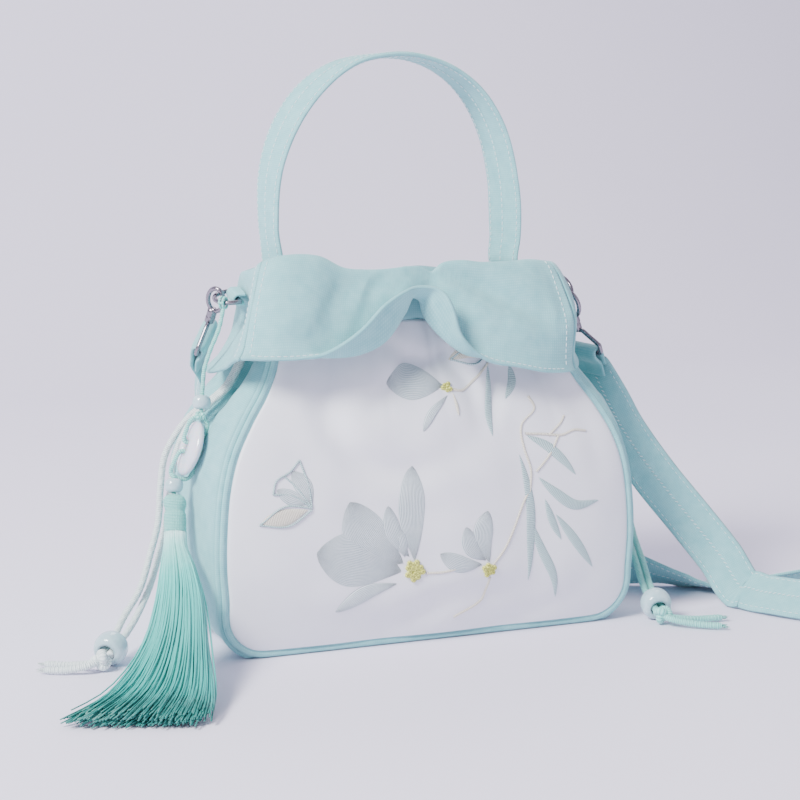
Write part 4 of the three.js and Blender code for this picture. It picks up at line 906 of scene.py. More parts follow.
# %% Collar stations
COLLAR_WIDTH, COLLAR_DEPTH, COLLAR_TOP = 82.0, 30.0, CASING_TOP + 19.0
DROP, HEM_WIDTH, HEM_DEPTH, BELLY, BACK_DIP = 60.0, 102.0, 55.0, 5.0, 6.0
# x, y, top, foldX, foldY, fold, rimX, rimY, rim, belly: x and y in half widths and half depths
# of the crest, fold and rim ones in those of the hem, heights in drops below the collar's top
STATIONS = [
    (-1.00, 0.00, 0.15, -0.955, 0.00, 0.88, -1.000, 0.00, 0.94, -2.0),
    (-0.99, 0.42, 0.12, -0.945, 0.37, 0.84, -0.980, 0.42, 0.88, -1.2),
    (-0.97, 0.76, 0.05, -0.930, 0.73, 0.73, -0.955, 0.79, 0.77, 0.2),
    (-0.85, 0.94, 0.00, -0.825, 0.87, 0.72, -0.845, 0.90, 0.78, 0.8),
    (-0.65, 0.95, 0.01, -0.680, 0.92, 0.72, -0.690, 0.95, 0.78, 1.0),
    (-0.49, 0.94, 0.11, -0.545, 0.91, 0.76, -0.560, 0.98, 0.72, 0.7),
    (-0.35, 0.93, 0.13, -0.385, 0.87, 0.75, -0.415, 1.00, 0.57, 0.5),
    (-0.24, 0.93, 0.13, -0.260, 0.82, 0.67, -0.285, 0.95, 0.38, 0.3),
    (-0.15, 0.93, 0.12, -0.145, 0.74, 0.46, -0.165, 0.87, 0.28, 0.1),
    (-0.09, 0.92, 0.11, -0.085, 0.67, 0.33, -0.090, 0.81, 0.25, 0.0),
    (0.00, 0.92, 0.12, -0.030, 0.67, 0.37, 0.002, 0.81, 0.26, 0.0),
    (0.07, 0.92, 0.16, -0.012, 0.71, 0.50, 0.050, 0.85, 0.31, 0.1),
    (0.14, 0.93, 0.09, 0.050, 0.78, 0.65, 0.082, 0.91, 0.43, 0.3),
    (0.26, 0.95, 0.07, 0.155, 0.87, 0.79, 0.122, 0.95, 0.66, 0.6),
    (0.40, 0.95, 0.09, 0.275, 0.91, 0.82, 0.262, 0.96, 0.86, 0.8),
    (0.56, 0.95, 0.09, 0.410, 0.93, 0.86, 0.410, 0.96, 0.92, 1.0),
    (0.73, 0.90, 0.08, 0.565, 0.91, 0.91, 0.568, 0.93, 0.98, 1.0),
    (0.87, 0.77, 0.10, 0.755, 0.76, 0.92, 0.765, 0.78, 0.99, 1.7),
    (0.97, 0.42, 0.12, 0.840, 0.40, 0.83, 0.860, 0.44, 0.90, 0.9),
    (1.00, 0.00, 0.14, 0.825, 0.00, 0.68, 0.850, 0.00, 0.75, -0.4),
]
TUCKED = [
    (-0.95, 0.52, 0.17, -0.820, 0.44, 0.78, -0.835, 0.52, 0.85, 0.0),
    (-0.88, 0.78, 0.16, -0.700, 0.69, 0.72, -0.705, 0.74, 0.77, 0.2),
    (-0.78, 0.93, 0.14, -0.620, 0.85, 0.70, -0.630, 0.88, 0.76, 0.6),
    (-0.63, 0.95, 0.14, -0.550, 0.90, 0.71, -0.560, 0.93, 0.77, 0.8),
]
front_count = len(STATIONS) - 1
behind = [(s[0], s[1], s[2] + BACK_DIP / DROP * (1 - s[0]**4), *s[3:])
          for s in STATIONS[1:front_count]]
behind[:len(TUCKED)] = TUCKED
stations = [(-1, s) for s in STATIONS] + [(1, s) for s in behind[::-1]]
ROUND = len(stations)


def profile(facing, row):
    x, y, top, fold_x, fold_y, fold, rim_x, rim_y, rim, belly = row
    crest = np.array([COLLAR_WIDTH * x, facing * COLLAR_DEPTH * y, COLLAR_TOP - DROP * top])
    bend = np.array([HEM_WIDTH * fold_x, facing * HEM_DEPTH * fold_y, COLLAR_TOP - DROP * fold])
    edge = np.array([HEM_WIDTH * rim_x, facing * HEM_DEPTH * rim_y, COLLAR_TOP - DROP * rim])
    neck_y = NECK_DEPTH * (1 - min(abs(x), 1)**ROUNDNESS) ** (1 / ROUNDNESS)
    foot = np.array([NECK_WIDTH * x, facing * neck_y, CASING_TOP + SEAT + 0.4])
    out = unit((bend - foot) * [1, 1, 0])
    middle = (crest + bend) / 2 + out * BELLY * belly
    throat = np.array([foot[0], foot[1], foot[2] * 0.4 + crest[2] * 0.6])
    return [foot, throat, crest, middle, bend, edge]


PROFILES = np.array([profile(facing, row) for facing, row in stations])


def collar_at(place, down):
    """Collar points, for stations place by shares down, neck to rim."""
    base = np.floor(place).astype(int)
    share = (place - base)[:, None, None]
    around = segment(*(PROFILES[(base + k) % ROUND] for k in (-1, 0, 1, 2)), share)
    return spline(around, down)


# %% [markdown]
# ## Four sewn pieces
# The collar is cut in four and sewn at its corners. Cloth that has been turned
# down is never even, so slow ripples run round it, strongest half way down.
# Creases are pressed in along lines, where the lifted front pulls at the cloth.

# %% Collar pieces
# soft creases along lines of (x, z) places in front: depth and width
CREASE_LINES = [
    ([(0, 186), (22, 178), (42, 168), (60, 158)], 4.4, 6.0),
    ([(4, 174), (12, 165), (22, 154)], 3.0, 4.5), ([(-30, 182), (-46, 170), (-54, 158)], 1.6, 6.0),
    ([(-14, 184), (-26, 176), (-34, 166)], 1.2, 4.0), ([(66, 182), (72, 168), (70, 154)], 1.6, 5.0),
]

CREASE_FADE = (0.3, 2.9)  # radians of a sine: how a crease starts and ends


def crease(grid):
    """How deep the collar is creased at each of its points."""
    depth = np.zeros(grid.shape[:2])
    for places, deep, width in CREASE_LINES:
        line = spline(upright(places), np.linspace(0, 1, 30))
        far = (grid[..., None, 0] - line[:, 0])**2 + (grid[..., None, 2] - line[:, 2])**2
        fade = np.sin(np.linspace(*CREASE_FADE, len(line)))
        depth = np.maximum(depth, deep * (np.exp(-far / width**2) * fade).max(-1))
    level = np.linspace(1, 0, grid.shape[1])[None]
    return depth * (grid[..., 1] < -20) * smooth(level, 0.40, 0.5) * (1 - smooth(level, 0.74, 0.82))


PIECES = [("front", 2, 17, 260), ("right", 17, 2 * front_count - 17, 70),
          ("back", 2 * front_count - 17, ROUND - 2, 200), ("left", ROUND - 2, ROUND + 2, 70)]
COLLAR_JOIN, COLLAR_ROWS, COLLAR_RIPPLE = 0.055, 90, 0.6
down = np.linspace(1, 0, COLLAR_ROWS)  # row 0 is the free rim, the last row is the neck
level = down[None, :, None]
collar = {}
for name, start, end, columns in PIECES:
    grid = collar_at(np.linspace(start + COLLAR_JOIN, end - COLLAR_JOIN, columns), down)
    ends = np.sin(np.pi * np.linspace(0, 1, columns))[:, None, None] ** 0.5
    ease = smooth(level, 0.42, 0.6) * (1 - smooth(level, 0.72, 0.8)) * ends
    normal = normals_of(grid)
    uneven = ripple(grid, 34)[..., None] + 0.5 * ripple(grid, 15)[..., None]
    grid = grid + normal * COLLAR_RIPPLE * ease * uneven
    grid = grid - normal * crease(grid)[..., None]
    cloth(f"cotton_collar_{name}", grid, CLOTH, COTTON, "aqua_cloth", [f"collar_{name}"])
    collar[name] = grid
print("collar pieces:", list(collar))


# %% [markdown]
# ## Topstitching
# A sewing machine leaves short, slightly sunken stitches at even spacing. Each
# is a small capsule laid on the cloth along a line, which reads better in a
# close view than a painted dash.

# %% Stitches along a line
# share of the length, share of the radius
STITCH_ROWS = [(-0.5, 0.25), (-0.34, 0.85), (0, 1.0), (0.34, 0.85), (0.5, 0.25)]
STITCH_SIDES, STITCH_RISE = 6, 0.2


def stitches(name, line, normal, pitch=3.0, length=2.1, radius=0.26, slant=0.0):
    run = run_of(line)
    at = np.arange(pitch, run[-1] - pitch, pitch)
    along, middle, up = (read_off(at, run, a) for a in (np.gradient(line, axis=0), line, normal))
    along, up = unit(along), unit(up)
    side = unit(np.cross(up, along))
    along = unit(along * math.cos(slant) + side * math.sin(slant))
    side = unit(np.cross(up, along))
    points = np.stack([middle + along * length * a + side * radius * r * math.cos(t)
                       + up * radius * (r * math.sin(t) + STITCH_RISE)
                       for a, r in STITCH_ROWS for t in circle(STITCH_SIDES)], 1)
    face = quads(len(STITCH_ROWS), STITCH_SIDES, ring_columns=True)
    count = points.shape[1]
    faces = (face[None] + (np.arange(len(at)) * count)[:, None, None]).reshape(-1, 4)
    shape = (points.reshape(-1, 3), faces, np.zeros((len(at) * count, 2)))
    build(name, shape, STITCH, "aqua_cloth")


# label, collar piece, columns and rows of its grid
RIM_TO_CREST = slice(6, 56)
SEWN_LINES = [("left", "front", 5, RIM_TO_CREST), ("right", "front", 254, RIM_TO_CREST),
              ("side", "left", 64, RIM_TO_CREST), ("hem", "front", slice(4, -4), 7)]
for label, name, columns, rows in SEWN_LINES:
    grid = collar[name]
    stitches(f"stitches_collar_{label}", grid[columns, rows], normals_of(grid)[columns, rows])
print("sewn lines on the collar:", len(SEWN_LINES))

# %% [markdown]
# ## Flat straps
# The hand loop and the shoulder strap are cloth folded into a flat tube and
# stitched. The section is a thin rounded rectangle with a shallow groove down
# the middle, where the folded edges meet, and one under each row of stitches.
# It is carried along stations that also say which way the width points.

# %% Bands
BAND_COLUMNS, JOIN_GROOVE, SEWN_GROOVE, GROOVE_WIDTH, SEWN_PLACE = 25, 0.25, 0.12, 0.05, 0.8


def band_frame(centres, wides):
    """Directions of a band's width and thickness, square to its run."""
    along = unit(np.gradient(centres, axis=0))
    wide = unit(wides - along * (wides * along).sum(1, keepdims=True))
    return wide, np.cross(along, wide)


def band(name, centres, wides, width, thickness, stands_for):
    wide, thick = band_frame(centres, wides)
    a = np.linspace(-1, 1, BAND_COLUMNS)
    groove = JOIN_GROOVE * np.exp(-((a / GROOVE_WIDTH) ** 2))
    sewn = SEWN_GROOVE * np.exp(-(((np.abs(a) - SEWN_PLACE) / GROOVE_WIDTH) ** 2))
    b = (1 - np.abs(a) ** 8) ** 0.5 - groove - sewn
    section = np.concatenate([np.stack([a, b], 1), np.stack([a[::-1], -b[::-1]], 1)[1:-1]])
    points = (centres[:, None] + wide[:, None] * section[None, :, :1] * width / 2
              + thick[:, None] * section[None, :, 1:] * thickness / 2)
    count, sides = points.shape[:2]
    across = (section[:, 0] + 1) * width / 2
    uv = np.stack(np.meshgrid(run_of(centres), across, indexing="ij"), -1)[..., ::-1].reshape(-1, 2)
    faces = quads(count, sides, ring_columns=True).tolist()
    faces += [list(range(sides)), list(range(count * sides - 1, count * sides - sides - 1, -1))]
    build(name, (points.reshape(-1, 3), faces, uv), COTTON, "aqua_cloth", stands_for)
    return wide, thick


# %% [markdown]
# ## The hand loop
# Its two legs go down inside the casing. The left leg is turned a little
# towards the camera. White stitches run along both edges and the middle join.

# %% Hand loop
HANDLE_SPAN, HANDLE_RISE, HANDLE_WIDTH, HANDLE_THICK = 72.0, 117.0, 22.0, 2.6
# place in spans, rise in rises, turn in degrees
HANDLE = [
    (-0.988, -0.12, 0), (-0.98, -0.04, 0), (-0.93, 0.08, -8), (-0.96, 0.28, -8), (-0.94, 0.50, -14),
    (-0.83, 0.69, -22), (-0.65, 0.84, -26), (-0.42, 0.94, -22), (-0.16, 0.98, -10),
    (0.08, 0.98, -4), (0.33, 0.93, -10), (0.54, 0.83, -16), (0.70, 0.67, -20), (0.79, 0.45, -22),
    (0.81, 0.22, -22), (0.80, 0.10, -18), (0.90, 0.02, -8), (0.975, -0.05, 0), (0.988, -0.12, 0),
]
even = np.linspace(0, 1, 260)
centres = spline([(HANDLE_SPAN * p, 0, CASING_TOP + HANDLE_RISE * r) for p, r, _ in HANDLE], even)
turns = [math.radians(t) for _, _, t in HANDLE]
wides = unit(spline([(math.sin(t), math.cos(t), 0) for t in turns], even))
wide, thick = band("cotton_hand_loop", centres, wides, HANDLE_WIDTH, HANDLE_THICK, ["handle_strap"])
ON_CLOTH = 0.46  # share of a band's thickness at which its stitches lie
inner = slice(12, -12)
for way, face in (("out", thick), ("in", -thick)):
    for label, off in (("near", -SEWN_PLACE), ("middle", 0.07), ("far", SEWN_PLACE)):
        line = centres + wide * off * HANDLE_WIDTH / 2 + face * HANDLE_THICK * ON_CLOTH
        stitches(f"stitches_loop_{label}_{way}", line[inner], face[inner])
print("hand loop is", round(line_length(centres)), "mm long")


# %% [markdown]
# ## Rings, tabs and hooks
# Each side has a cloth tab round the bar of a wire D-ring. A snap hook holds
# the ring by its eye, turns on a barrel and holds the strap in a frame. Bent
# wire is a sweep along its outline.

# %% Metal sizes and places
RING_WIRE, RING_INNER, RING_DEEP, RING_HEIGHT, TAB_WIDTH = 1.15, 15.0, 8.0, 169.0, 12.4
HOOK_WIRE, HOOK_LENGTH, EYE_WIDE, EYE_LONG, BARREL, FRAME_RISE = 1.2, 31.0, 4.6, 7.0, 2.5, 12.0
ROD_STATIONS = 40
STRAP_WIDTH, STRAP_THICK = 25.0, 2.4
TAB_OUTER = RING_WIRE + SEAT + CLOTH
CURL = HOOK_WIRE + SEAT + STRAP_THICK / 2
RING_REACH, RING_HALF = RING_DEEP + RING_WIRE * 2, RING_INNER / 2 + RING_WIRE


def turned(axis, degrees):
    """Rotation matrix about an axis."""
    k, r = crossing(unit(np.array(axis, float))), math.radians(degrees)
    return np.eye(3) + math.sin(r) * k + (1 - math.cos(r)) * k @ k


def collar_reach(station, above):
    """How far the collar stands out within a height of the ring's middle."""
    reach = 0
    for down in np.arange(0.4, 0.9, 0.02):
        for aside in (-0.4, -0.2, 0, 0.2, 0.4):
            point = collar_at(np.array([station + aside]), np.array([down]))[0, 0]
            if abs(point[2] - RING_HEIGHT) < above:
                reach = max(reach, abs(point[0]))
    return reach


def ring_point(ring, degrees):
    """A place on the ring's bow, by its angle from the outermost point."""
    x, centre, tilt = ring
    a = math.radians(degrees)
    bow = [x * RING_REACH * math.cos(a) ** 0.8, RING_HALF * math.sin(a), 0]
    return tilt @ np.array(bow) + centre


# %% Rings, tabs and hooks
SIDES = [dict(side="left", x=-1, station=ROUND, back=4, roll=14, droop=8, grip=50,
              hang=(-0.05, 0.66, -0.75), bar=(0.37, 0.93, 0.0)),
         dict(side="right", x=1, station=front_count, back=0, roll=50, droop=4, grip=-50,
              hang=(0.36, 0.16, -0.92), bar=(0.20, -0.95, 0.10))]
rings, bars = {}, {}
for s in SIDES:
    side, x, roll = s["side"], s["x"], math.radians(s["roll"])
    above = TAB_OUTER * math.cos(roll) + TAB_WIDTH / 2 * math.sin(roll)
    stands_out = collar_reach(s["station"], above) + TAB_OUTER + SEAT
    centre = np.array([x * stands_out, s["back"], RING_HEIGHT])
    rolled = turned((1, 0, 0), s["roll"])
    # the tab: a strip of cloth folded round the ring's bar
    middle = TAB_OUTER - CLOTH / 2
    arc = np.linspace(-math.pi / 2, math.pi / 2, 24)
    strip = [(middle * math.cos(a), 0, middle * math.sin(a)) for a in arc]
    strip = [(-TAB_OUTER, 0, -middle), *strip, (-TAB_OUTER, 0, middle)]
    line = evenly(np.array(strip) * [x, 1, 1], 60) @ rolled.T + centre
    wide = np.broadcast_to(rolled @ [0, 1.0, 0], line.shape)
    band(f"cotton_tab_{side}", line, wide, TAB_WIDTH, CLOTH, [f"ring_tab_{side}"])
    # the ring
    tilt = rolled @ turned((0, x, 0), s["droop"])
    ring = rings[side] = (x, centre, tilt)
    outline = [tilt @ [0, RING_HALF * k, 0] + centre for k in np.linspace(-1, 1, 16)]
    outline += [ring_point(ring, angle) for angle in np.linspace(90, -90, 42)[1:-1]]
    shape = sweep(outline, RING_WIRE, 14, ring=True, facing=tilt @ [0, 0, 1.0])
    build(f"nickel_ring_{side}", shape, NICKEL, "metal", [f"d_ring_{side}"])
    # the hook: an eye, a frame for the strap and the barrel between them
    held, hang = ring_point(ring, s["grip"]), unit(np.array(s["hang"]))
    wire = ring_point(ring, s["grip"] + 8) - ring_point(ring, s["grip"] - 8)
    facing = unit(wire - hang * (wire @ hang))
    aside = np.cross(facing, hang)
    eye = held + hang * (EYE_LONG - RING_WIRE - SEAT * 2 - HOOK_WIRE)
    bar = held + hang * HOOK_LENGTH
    wide = unit(np.array(s["bar"]) - hang * (np.array(s["bar"]) @ hang))
    half = STRAP_WIDTH / 2 + SEAT + HOOK_WIRE
    a = circle(60)
    oval = eye + aside * (EYE_WIDE * np.cos(a))[:, None] + hang * (EYE_LONG * np.sin(a))[:, None]
    legs = [(half - HOOK_WIRE, 0), (half, -HOOK_WIRE), (half, -CURL * 1.8),
            (BARREL * 1.5, -FRAME_RISE)]
    loop = legs + [(-p, q) for p, q in legs[::-1]]
    corners = [bar + wide * p + hang * q for p, q in loop + loop[:1]]
    fine = np.concatenate([np.linspace(p, q, 9)[:-1] for p, q in zip(corners[:-1], corners[1:])])
    top, foot = eye + hang * EYE_LONG, bar - hang * FRAME_RISE
    rod = np.array([top + (foot - top) * t for t in np.linspace(-0.06, 1.06, ROD_STATIONS)])
    # the barrel is thinner at its ends and has a groove round its middle
    barrel = BARREL * np.where(np.abs(np.linspace(-1, 1, ROD_STATIONS)) > 0.86, 0.8, 1.0)
    barrel[18:22] *= 0.86
    parts = [sweep(oval, HOOK_WIRE, 12, ring=True, facing=facing),
             sweep(fine, HOOK_WIRE, 12, ring=True, facing=np.cross(wide, hang)),
             sweep(rod, barrel, 20)]
    build(f"nickel_hook_{side}", joined(parts), NICKEL, "metal", [f"snap_hook_{side}"])
    bars[side] = (bar, wide)
print("rings at", [[round(float(c), 1) for c in r[1]] for r in rings.values()])

# %% [markdown]
# ## The shoulder strap
# A metre of flat strap hangs from the right hook, twists on to its edge, makes
# a round loop on the floor in front, goes behind the purse and up to the other
# hook. Cloth that stands on its edge rests on that edge, so each station is
# lifted until its lower edge meets the floor.

# %% Strap stations
STRAP_STATIONS, CURL_STATIONS = 700, 60
# centre as shares of half width, half depth and ring height; then width direction
STRAP = [
    (1.06, -0.02, 0.690, 0.50, -0.72, 0.35), (1.16, -0.08, 0.557, 0.77, -0.34, 0.55),
    (1.32, -0.25, 0.397, 0.76, -0.34, 0.55), (1.48, -0.46, 0.255, 0.74, -0.33, 0.58),
    (1.59, -0.69, 0.144, 0.74, -0.20, 0.64), (1.65, -1.00, 0.000, 0.74, 0.10, 0.64),
    (1.71, -1.31, 0.000, 0.68, 0.38, 0.62), (1.79, -1.62, 0.000, 0.48, 0.60, 0.64),
    (1.88, -1.92, 0.000, 0.30, 0.50, 0.80), (2.02, -2.19, 0.000, 0.10, 0.12, 0.99),
    (2.28, -2.61, 0.000, 0.00, 0.05, 1.00), (2.63, -2.82, 0.000, 0.00, 0.00, 1.00),
    (2.96, -2.61, 0.000, 0.00, 0.00, 1.00), (3.15, -2.06, 0.000, 0.00, 0.00, 1.00),
    (3.07, -1.43, 0.000, 0.00, 0.00, 1.00), (2.81, -1.05, 0.000, 0.03, -0.10, 1.00),
    (2.43, -0.90, 0.000, 0.15, -0.55, 0.80), (2.07, -0.72, 0.000, 0.25, -0.82, 0.50),
    (1.81, -0.44, 0.000, 0.32, -0.90, 0.24), (1.54, -0.18, 0.000, 0.35, -0.92, 0.14),
    (1.31, 0.16, 0.000, 0.35, -0.78, 0.52), (1.15, 0.59, 0.000, 0.00, 0.00, 1.00),
    (1.04, 1.10, 0.000, 0.00, 0.00, 1.00), (0.85, 1.41, 0.000, 0.00, 0.00, 1.00),
    (0.46, 1.56, 0.000, 0.00, 0.00, 1.00), (0.00, 1.64, 0.000, 0.00, 0.00, 1.00),
    (-0.28, 1.66, 0.090, -0.20, 0.00, 0.98), (-0.50, 1.60, 0.190, -0.60, 0.00, 0.80),
    (-0.61, 1.52, 0.331, -0.80, 0.10, 0.60), (-0.70, 1.47, 0.473, -0.60, 0.50, 0.60),
    (-0.78, 1.40, 0.580, -0.20, 0.75, 0.63), (-0.83, 1.24, 0.675, 0.10, 0.80, 0.60),
    (-0.84, 0.97, 0.769, 0.32, 0.76, 0.55),
]
# the sewn end in steps of its bend: off the bar, then along the strap
CURL_ROWS = [(0.05, 5.0), (0.05, 2.4), (0.7, 1.2), (1, 0.3), (0.87, -0.5), (0.5, -0.87), (0, -1),
             (-0.5, -0.87), (-0.87, -0.5), (-1, 0.3), (-1, 1.6), (-1, 3.4)]


def standing(centres, wides):
    """Lifts a band so that its lower edge stands on the floor."""
    wide, thick = band_frame(centres, wides)
    rest = STRAP_WIDTH / 2 * np.abs(wide[:, 2]) + STRAP_THICK / 2 * np.abs(thick[:, 2]) + SEAT
    lifted = centres.copy()
    lifted[:, 2] = np.maximum(centres[:, 2], rest)
    return lifted


def curl(place, towards):
    """The sewn end round a hook's bar, from its tail to where it leaves."""
    bar, wide = place
    along = towards - bar
    along = unit(along - wide * (along @ wide))
    off = np.cross(along, wide)
    return np.array([bar + off * a * CURL + along * b * CURL for a, b in CURL_ROWS])


rows = np.array(STRAP)
aim = unit(rows[:, 3:])
run = standing(rows[:, :3] * [HALF_WIDTH, HALF_DEPTH, RING_HEIGHT], aim)
first, last = curl(bars["right"], run[0]), curl(bars["left"], run[-1])[::-1]
whole = np.concatenate([[first[-1]], run, [last[0]]])
first_wide, last_wide = bars["right"][1], bars["left"][1]
whole_aim = np.concatenate([[first_wide], aim, [last_wide]])
share, bend = np.linspace(0, 1, STRAP_STATIONS), np.linspace(0, 1, CURL_STATIONS)
centres = np.concatenate([spline(first, bend)[:-1], spline(whole, share), spline(last, bend)[1:]])
wides = np.concatenate([np.tile(first_wide, (CURL_STATIONS - 1, 1)), unit(spline(whole_aim, share)),
                        np.tile(last_wide, (CURL_STATIONS - 1, 1))])
centres = standing(centres, wides)
wide, thick = band("cotton_shoulder_strap", centres, wides, STRAP_WIDTH, STRAP_THICK,
                   ["shoulder_strap"])
print("shoulder strap is", round(line_length(centres)), "mm long")

# %% Strap stitches
edge = SEWN_PLACE * STRAP_WIDTH / 2
# label, place across in millimetres, then the stitch's pitch, length, radius and slant
STRAP_ROWS = [("middle", 0.4, 2.6, 2.0, 0.27, 0.6), ("low", -edge, 3.2, 1.9, 0.22, 0.0),
              ("high", edge, 3.2, 1.9, 0.22, 0.0)]
between_hooks = slice(70, -70)
for way, face in (("out", thick), ("in", -thick)):
    for label, off, *size in STRAP_ROWS:
        line = centres + wide * off + face * STRAP_THICK * ON_CLOTH
        stitches(f"stitches_strap_{label}_{way}", line[between_hooks], face[between_hooks], *size)
print("stitched rows on the strap:", 2 * len(STRAP_ROWS))

# %% [markdown]
# ## The pendant's thread
# A doubled thread is hitched to the left ring. It goes through a bead, is
# knotted, and loops through the ring stone; a second loop below holds the
# tassel. Two twisted plies give the section two lobes that turn along it.

# %% Pendant thread
THREAD, STONE_RADIUS, STONE_BORE, STONE_HALF = 1.1, 13.5, 3.8, 3.0
UP = np.array([0, 0, 1.0])
STONE = np.array([-114.2, -16, 98.4])
DOWN, AXIS = unit(np.array([-0.34, 0, -0.94])), unit(np.array([0.94, 0, -0.34]))
TASSEL_TOP = np.array([-123.6, -19.9, 77.0])
# name, middle and direction of the small beads
SMALL = [("upper", np.array([-107.6, -13.2, 119.9]), np.array([-0.15, -0.25, -1.0])),
         ("lower", np.array([-123.3, -18.6, 81.4]), np.array([-0.15, -0.3, -1.0]))]
SMALL_RADIUS, SMALL_HALF = 4.5, 3.3
PLY_STEP, PLY_TURN, PLY_SIDES, PLY_RELIEF = 0.45, 4.5, 14, 0.22
HITCH_WIRE, TIE_WIRE, TIE_RADIUS = 0.62, 0.95, 2.9


def doubled(line, ring=False, facing=None):
    """Two plies of thread twisted together, as one lobed section, and its path."""
    count = max(int(line_length(line) / PLY_STEP), 40)
    path = evenly(np.r_[line, line[:1]] if ring else line, count + 1 if ring else count)
    path = path[:-1] if ring else path
    turns = round(line_length(path) / PLY_TURN)
    twist = np.linspace(0, 2 * np.pi * turns, len(path), endpoint=not ring)[:, None]
    radius = THREAD * (1 - PLY_RELIEF + PLY_RELIEF * np.abs(np.cos(circle(PLY_SIDES) + twist / 2)))
    return sweep(path, radius, PLY_SIDES, ring, facing), path


def through(centre, axis):
    """Where a thread enters and leaves a small bead."""
    reach = SMALL_HALF / np.linalg.norm(axis)
    return [centre - axis * reach, centre + axis * reach]


def around_stone(places):
    return np.array([STONE + AXIS * a + DOWN * b for a, b in places])


bore = STONE_BORE - SEAT * 2 - THREAD
over, rim = STONE_HALF + SEAT * 2 + THREAD, STONE_RADIUS + SEAT * 2 + THREAD
upper_loop = around_stone([(0, -bore), (over * 0.85, -bore - 0.8), (over, -STONE_RADIUS * 0.5),
                           (over * 0.8, -rim + 1.5), (0, -rim), (-over * 0.8, -rim + 1.5),
                           (-over, -STONE_RADIUS * 0.5), (-over * 0.85, -bore - 0.8)])
lower_loop = around_stone([(0, bore), (over * 0.85, bore + 0.8), (over, STONE_RADIUS * 0.5),
                           (over * 0.8, rim - 1.5), (0, rim), (-over * 1.1, rim - 1.2),
                           (-over * 1.15, STONE_RADIUS * 0.6), (-over * 0.85, bore + 0.8)])
GRIP = -45  # degrees along the left ring, where the thread is hitched
held = ring_point(rings["left"], GRIP)
wire = unit(ring_point(rings["left"], GRIP - 8) - ring_point(rings["left"], GRIP + 8))
aside = unit(np.cross(wire, UP))
reach = RING_WIRE + SEAT + THREAD
route = np.array([held - UP * reach, (-96.5, -5.6, 154), (-101.5, -7.6, 144), (-105, -9.6, 135.5),
                  (-106.4, -11, 127), *through(*SMALL[0][1:]), upper_loop[4]])
facing = np.cross(AXIS, DOWN)

# %% Upper and lower thread
upper_shape, upper_path = doubled(route)
upper = build("doubled_thread_upper", upper_shape, MINT_BRAID, "mint_cord", ["pendant_cord_upper"])
a, side_reach = circle(40), reach * 0.92
oval = held + aside * (side_reach * np.cos(a))[:, None] + UP * (reach * 1.02 * np.sin(a))[:, None]
hitch = [sweep(oval + wire * off, HITCH_WIRE, 8, ring=True, facing=wire) for off in (-0.95, 0.95)]
crossbar = held + aside * side_reach + wire * np.linspace(-1.4, 1.4, 8)[:, None]
hitch.append(sweep(crossbar, HITCH_WIRE, 8))
tie_line = knot_line(upper_loop[4] + UP * THREAD, TIE_RADIUS, TIE_WIRE, UP + AXIS * 0.3)
tie = sweep(tie_line, TIE_WIRE, 10, ring=True)
hitch_shape = joined([*hitch, tie, doubled(upper_loop, True, facing)[0]])
hitch_piece = build("thread_hitch_and_knot", hitch_shape, MINT_BRAID, "mint_cord")
lower_route = np.array([lower_loop[5], *through(*SMALL[1][1:]), TASSEL_TOP + UP * SEAT])
lower_shape = joined([doubled(lower_route)[0], doubled(lower_loop, True, facing)[0]])
build("doubled_thread_lower", lower_shape, MINT_BRAID, "mint_cord", ["pendant_cord_lower"])
small = {name: bead(f"glazed_bead_{name}", centre, axis, SMALL_RADIUS, SMALL_HALF, THREAD + SEAT,
                    GLAZE, "bead", [f"pendant_bead_{name}"]) for name, centre, axis in SMALL}
bead("jade_ring_stone", STONE, AXIS, STONE_RADIUS, STONE_HALF, STONE_BORE, JADE, "jade",
     ["pendant_ring_stone"])
declare_cord(upper, upper_path, THREAD, [small["upper"], hitch_piece])
print("pendant thread", round(line_length(upper_path)), "mm")

# %% [markdown]
# ## The tassel
# A hank of silk is hung over the thread, bound below its head, wrapped with
# close turns and cut at the foot, where the threads splay on the floor. Real
# threads are drawn one by one: about a thousand fine tubes.

# %% Tassel sections
TASSEL_HEIGHT, TASSEL_SPREAD = 77.0, 30.0
TASSEL_WIDE = unit(np.array([0.93, -0.36, 0]))
# x, y in spreads, z in heights, half width, half thickness in spreads
SECTIONS = np.array([
    (0.00, 0.00, 1.000, 0.07, 0.07), (0.00, -0.01, 0.985, 0.15, 0.15),
    (0.00, -0.04, 0.950, 0.18, 0.18), (-0.01, -0.09, 0.905, 0.15, 0.15),
    (-0.02, -0.11, 0.885, 0.17, 0.17), (-0.04, -0.20, 0.780, 0.17, 0.17),
    (-0.07, -0.32, 0.700, 0.18, 0.17), (-0.11, -0.62, 0.590, 0.27, 0.22),
    (-0.22, -1.12, 0.430, 0.37, 0.25), (-0.54, -2.05, 0.245, 0.50, 0.23),
    (-0.98, -2.90, 0.100, 0.76, 0.16), (-1.50, -3.45, 0.042, 1.04, 0.07),
])
middles = SECTIONS[:, :3] * [TASSEL_SPREAD, TASSEL_SPREAD, TASSEL_HEIGHT] + TASSEL_TOP * [1, 1, 0]
thicks = unit(np.cross(unit(np.gradient(middles, axis=0)), TASSEL_WIDE))


def tassel_lines(turn, share, first, last, count):
    """Threads at turns and shares of the section, as smooth lines."""
    rows = slice(first, last)
    a = (TASSEL_SPREAD * SECTIONS[rows, 3])[None] * (np.cos(turn) * share)[:, None]
    b = (TASSEL_SPREAD * SECTIONS[rows, 4])[None] * (np.sin(turn) * share)[:, None]
    knots_at = middles[None, rows] + TASSEL_WIDE * a[..., None] + thicks[None, rows] * b[..., None]
    return spline(knots_at, np.linspace(0, 1, count))


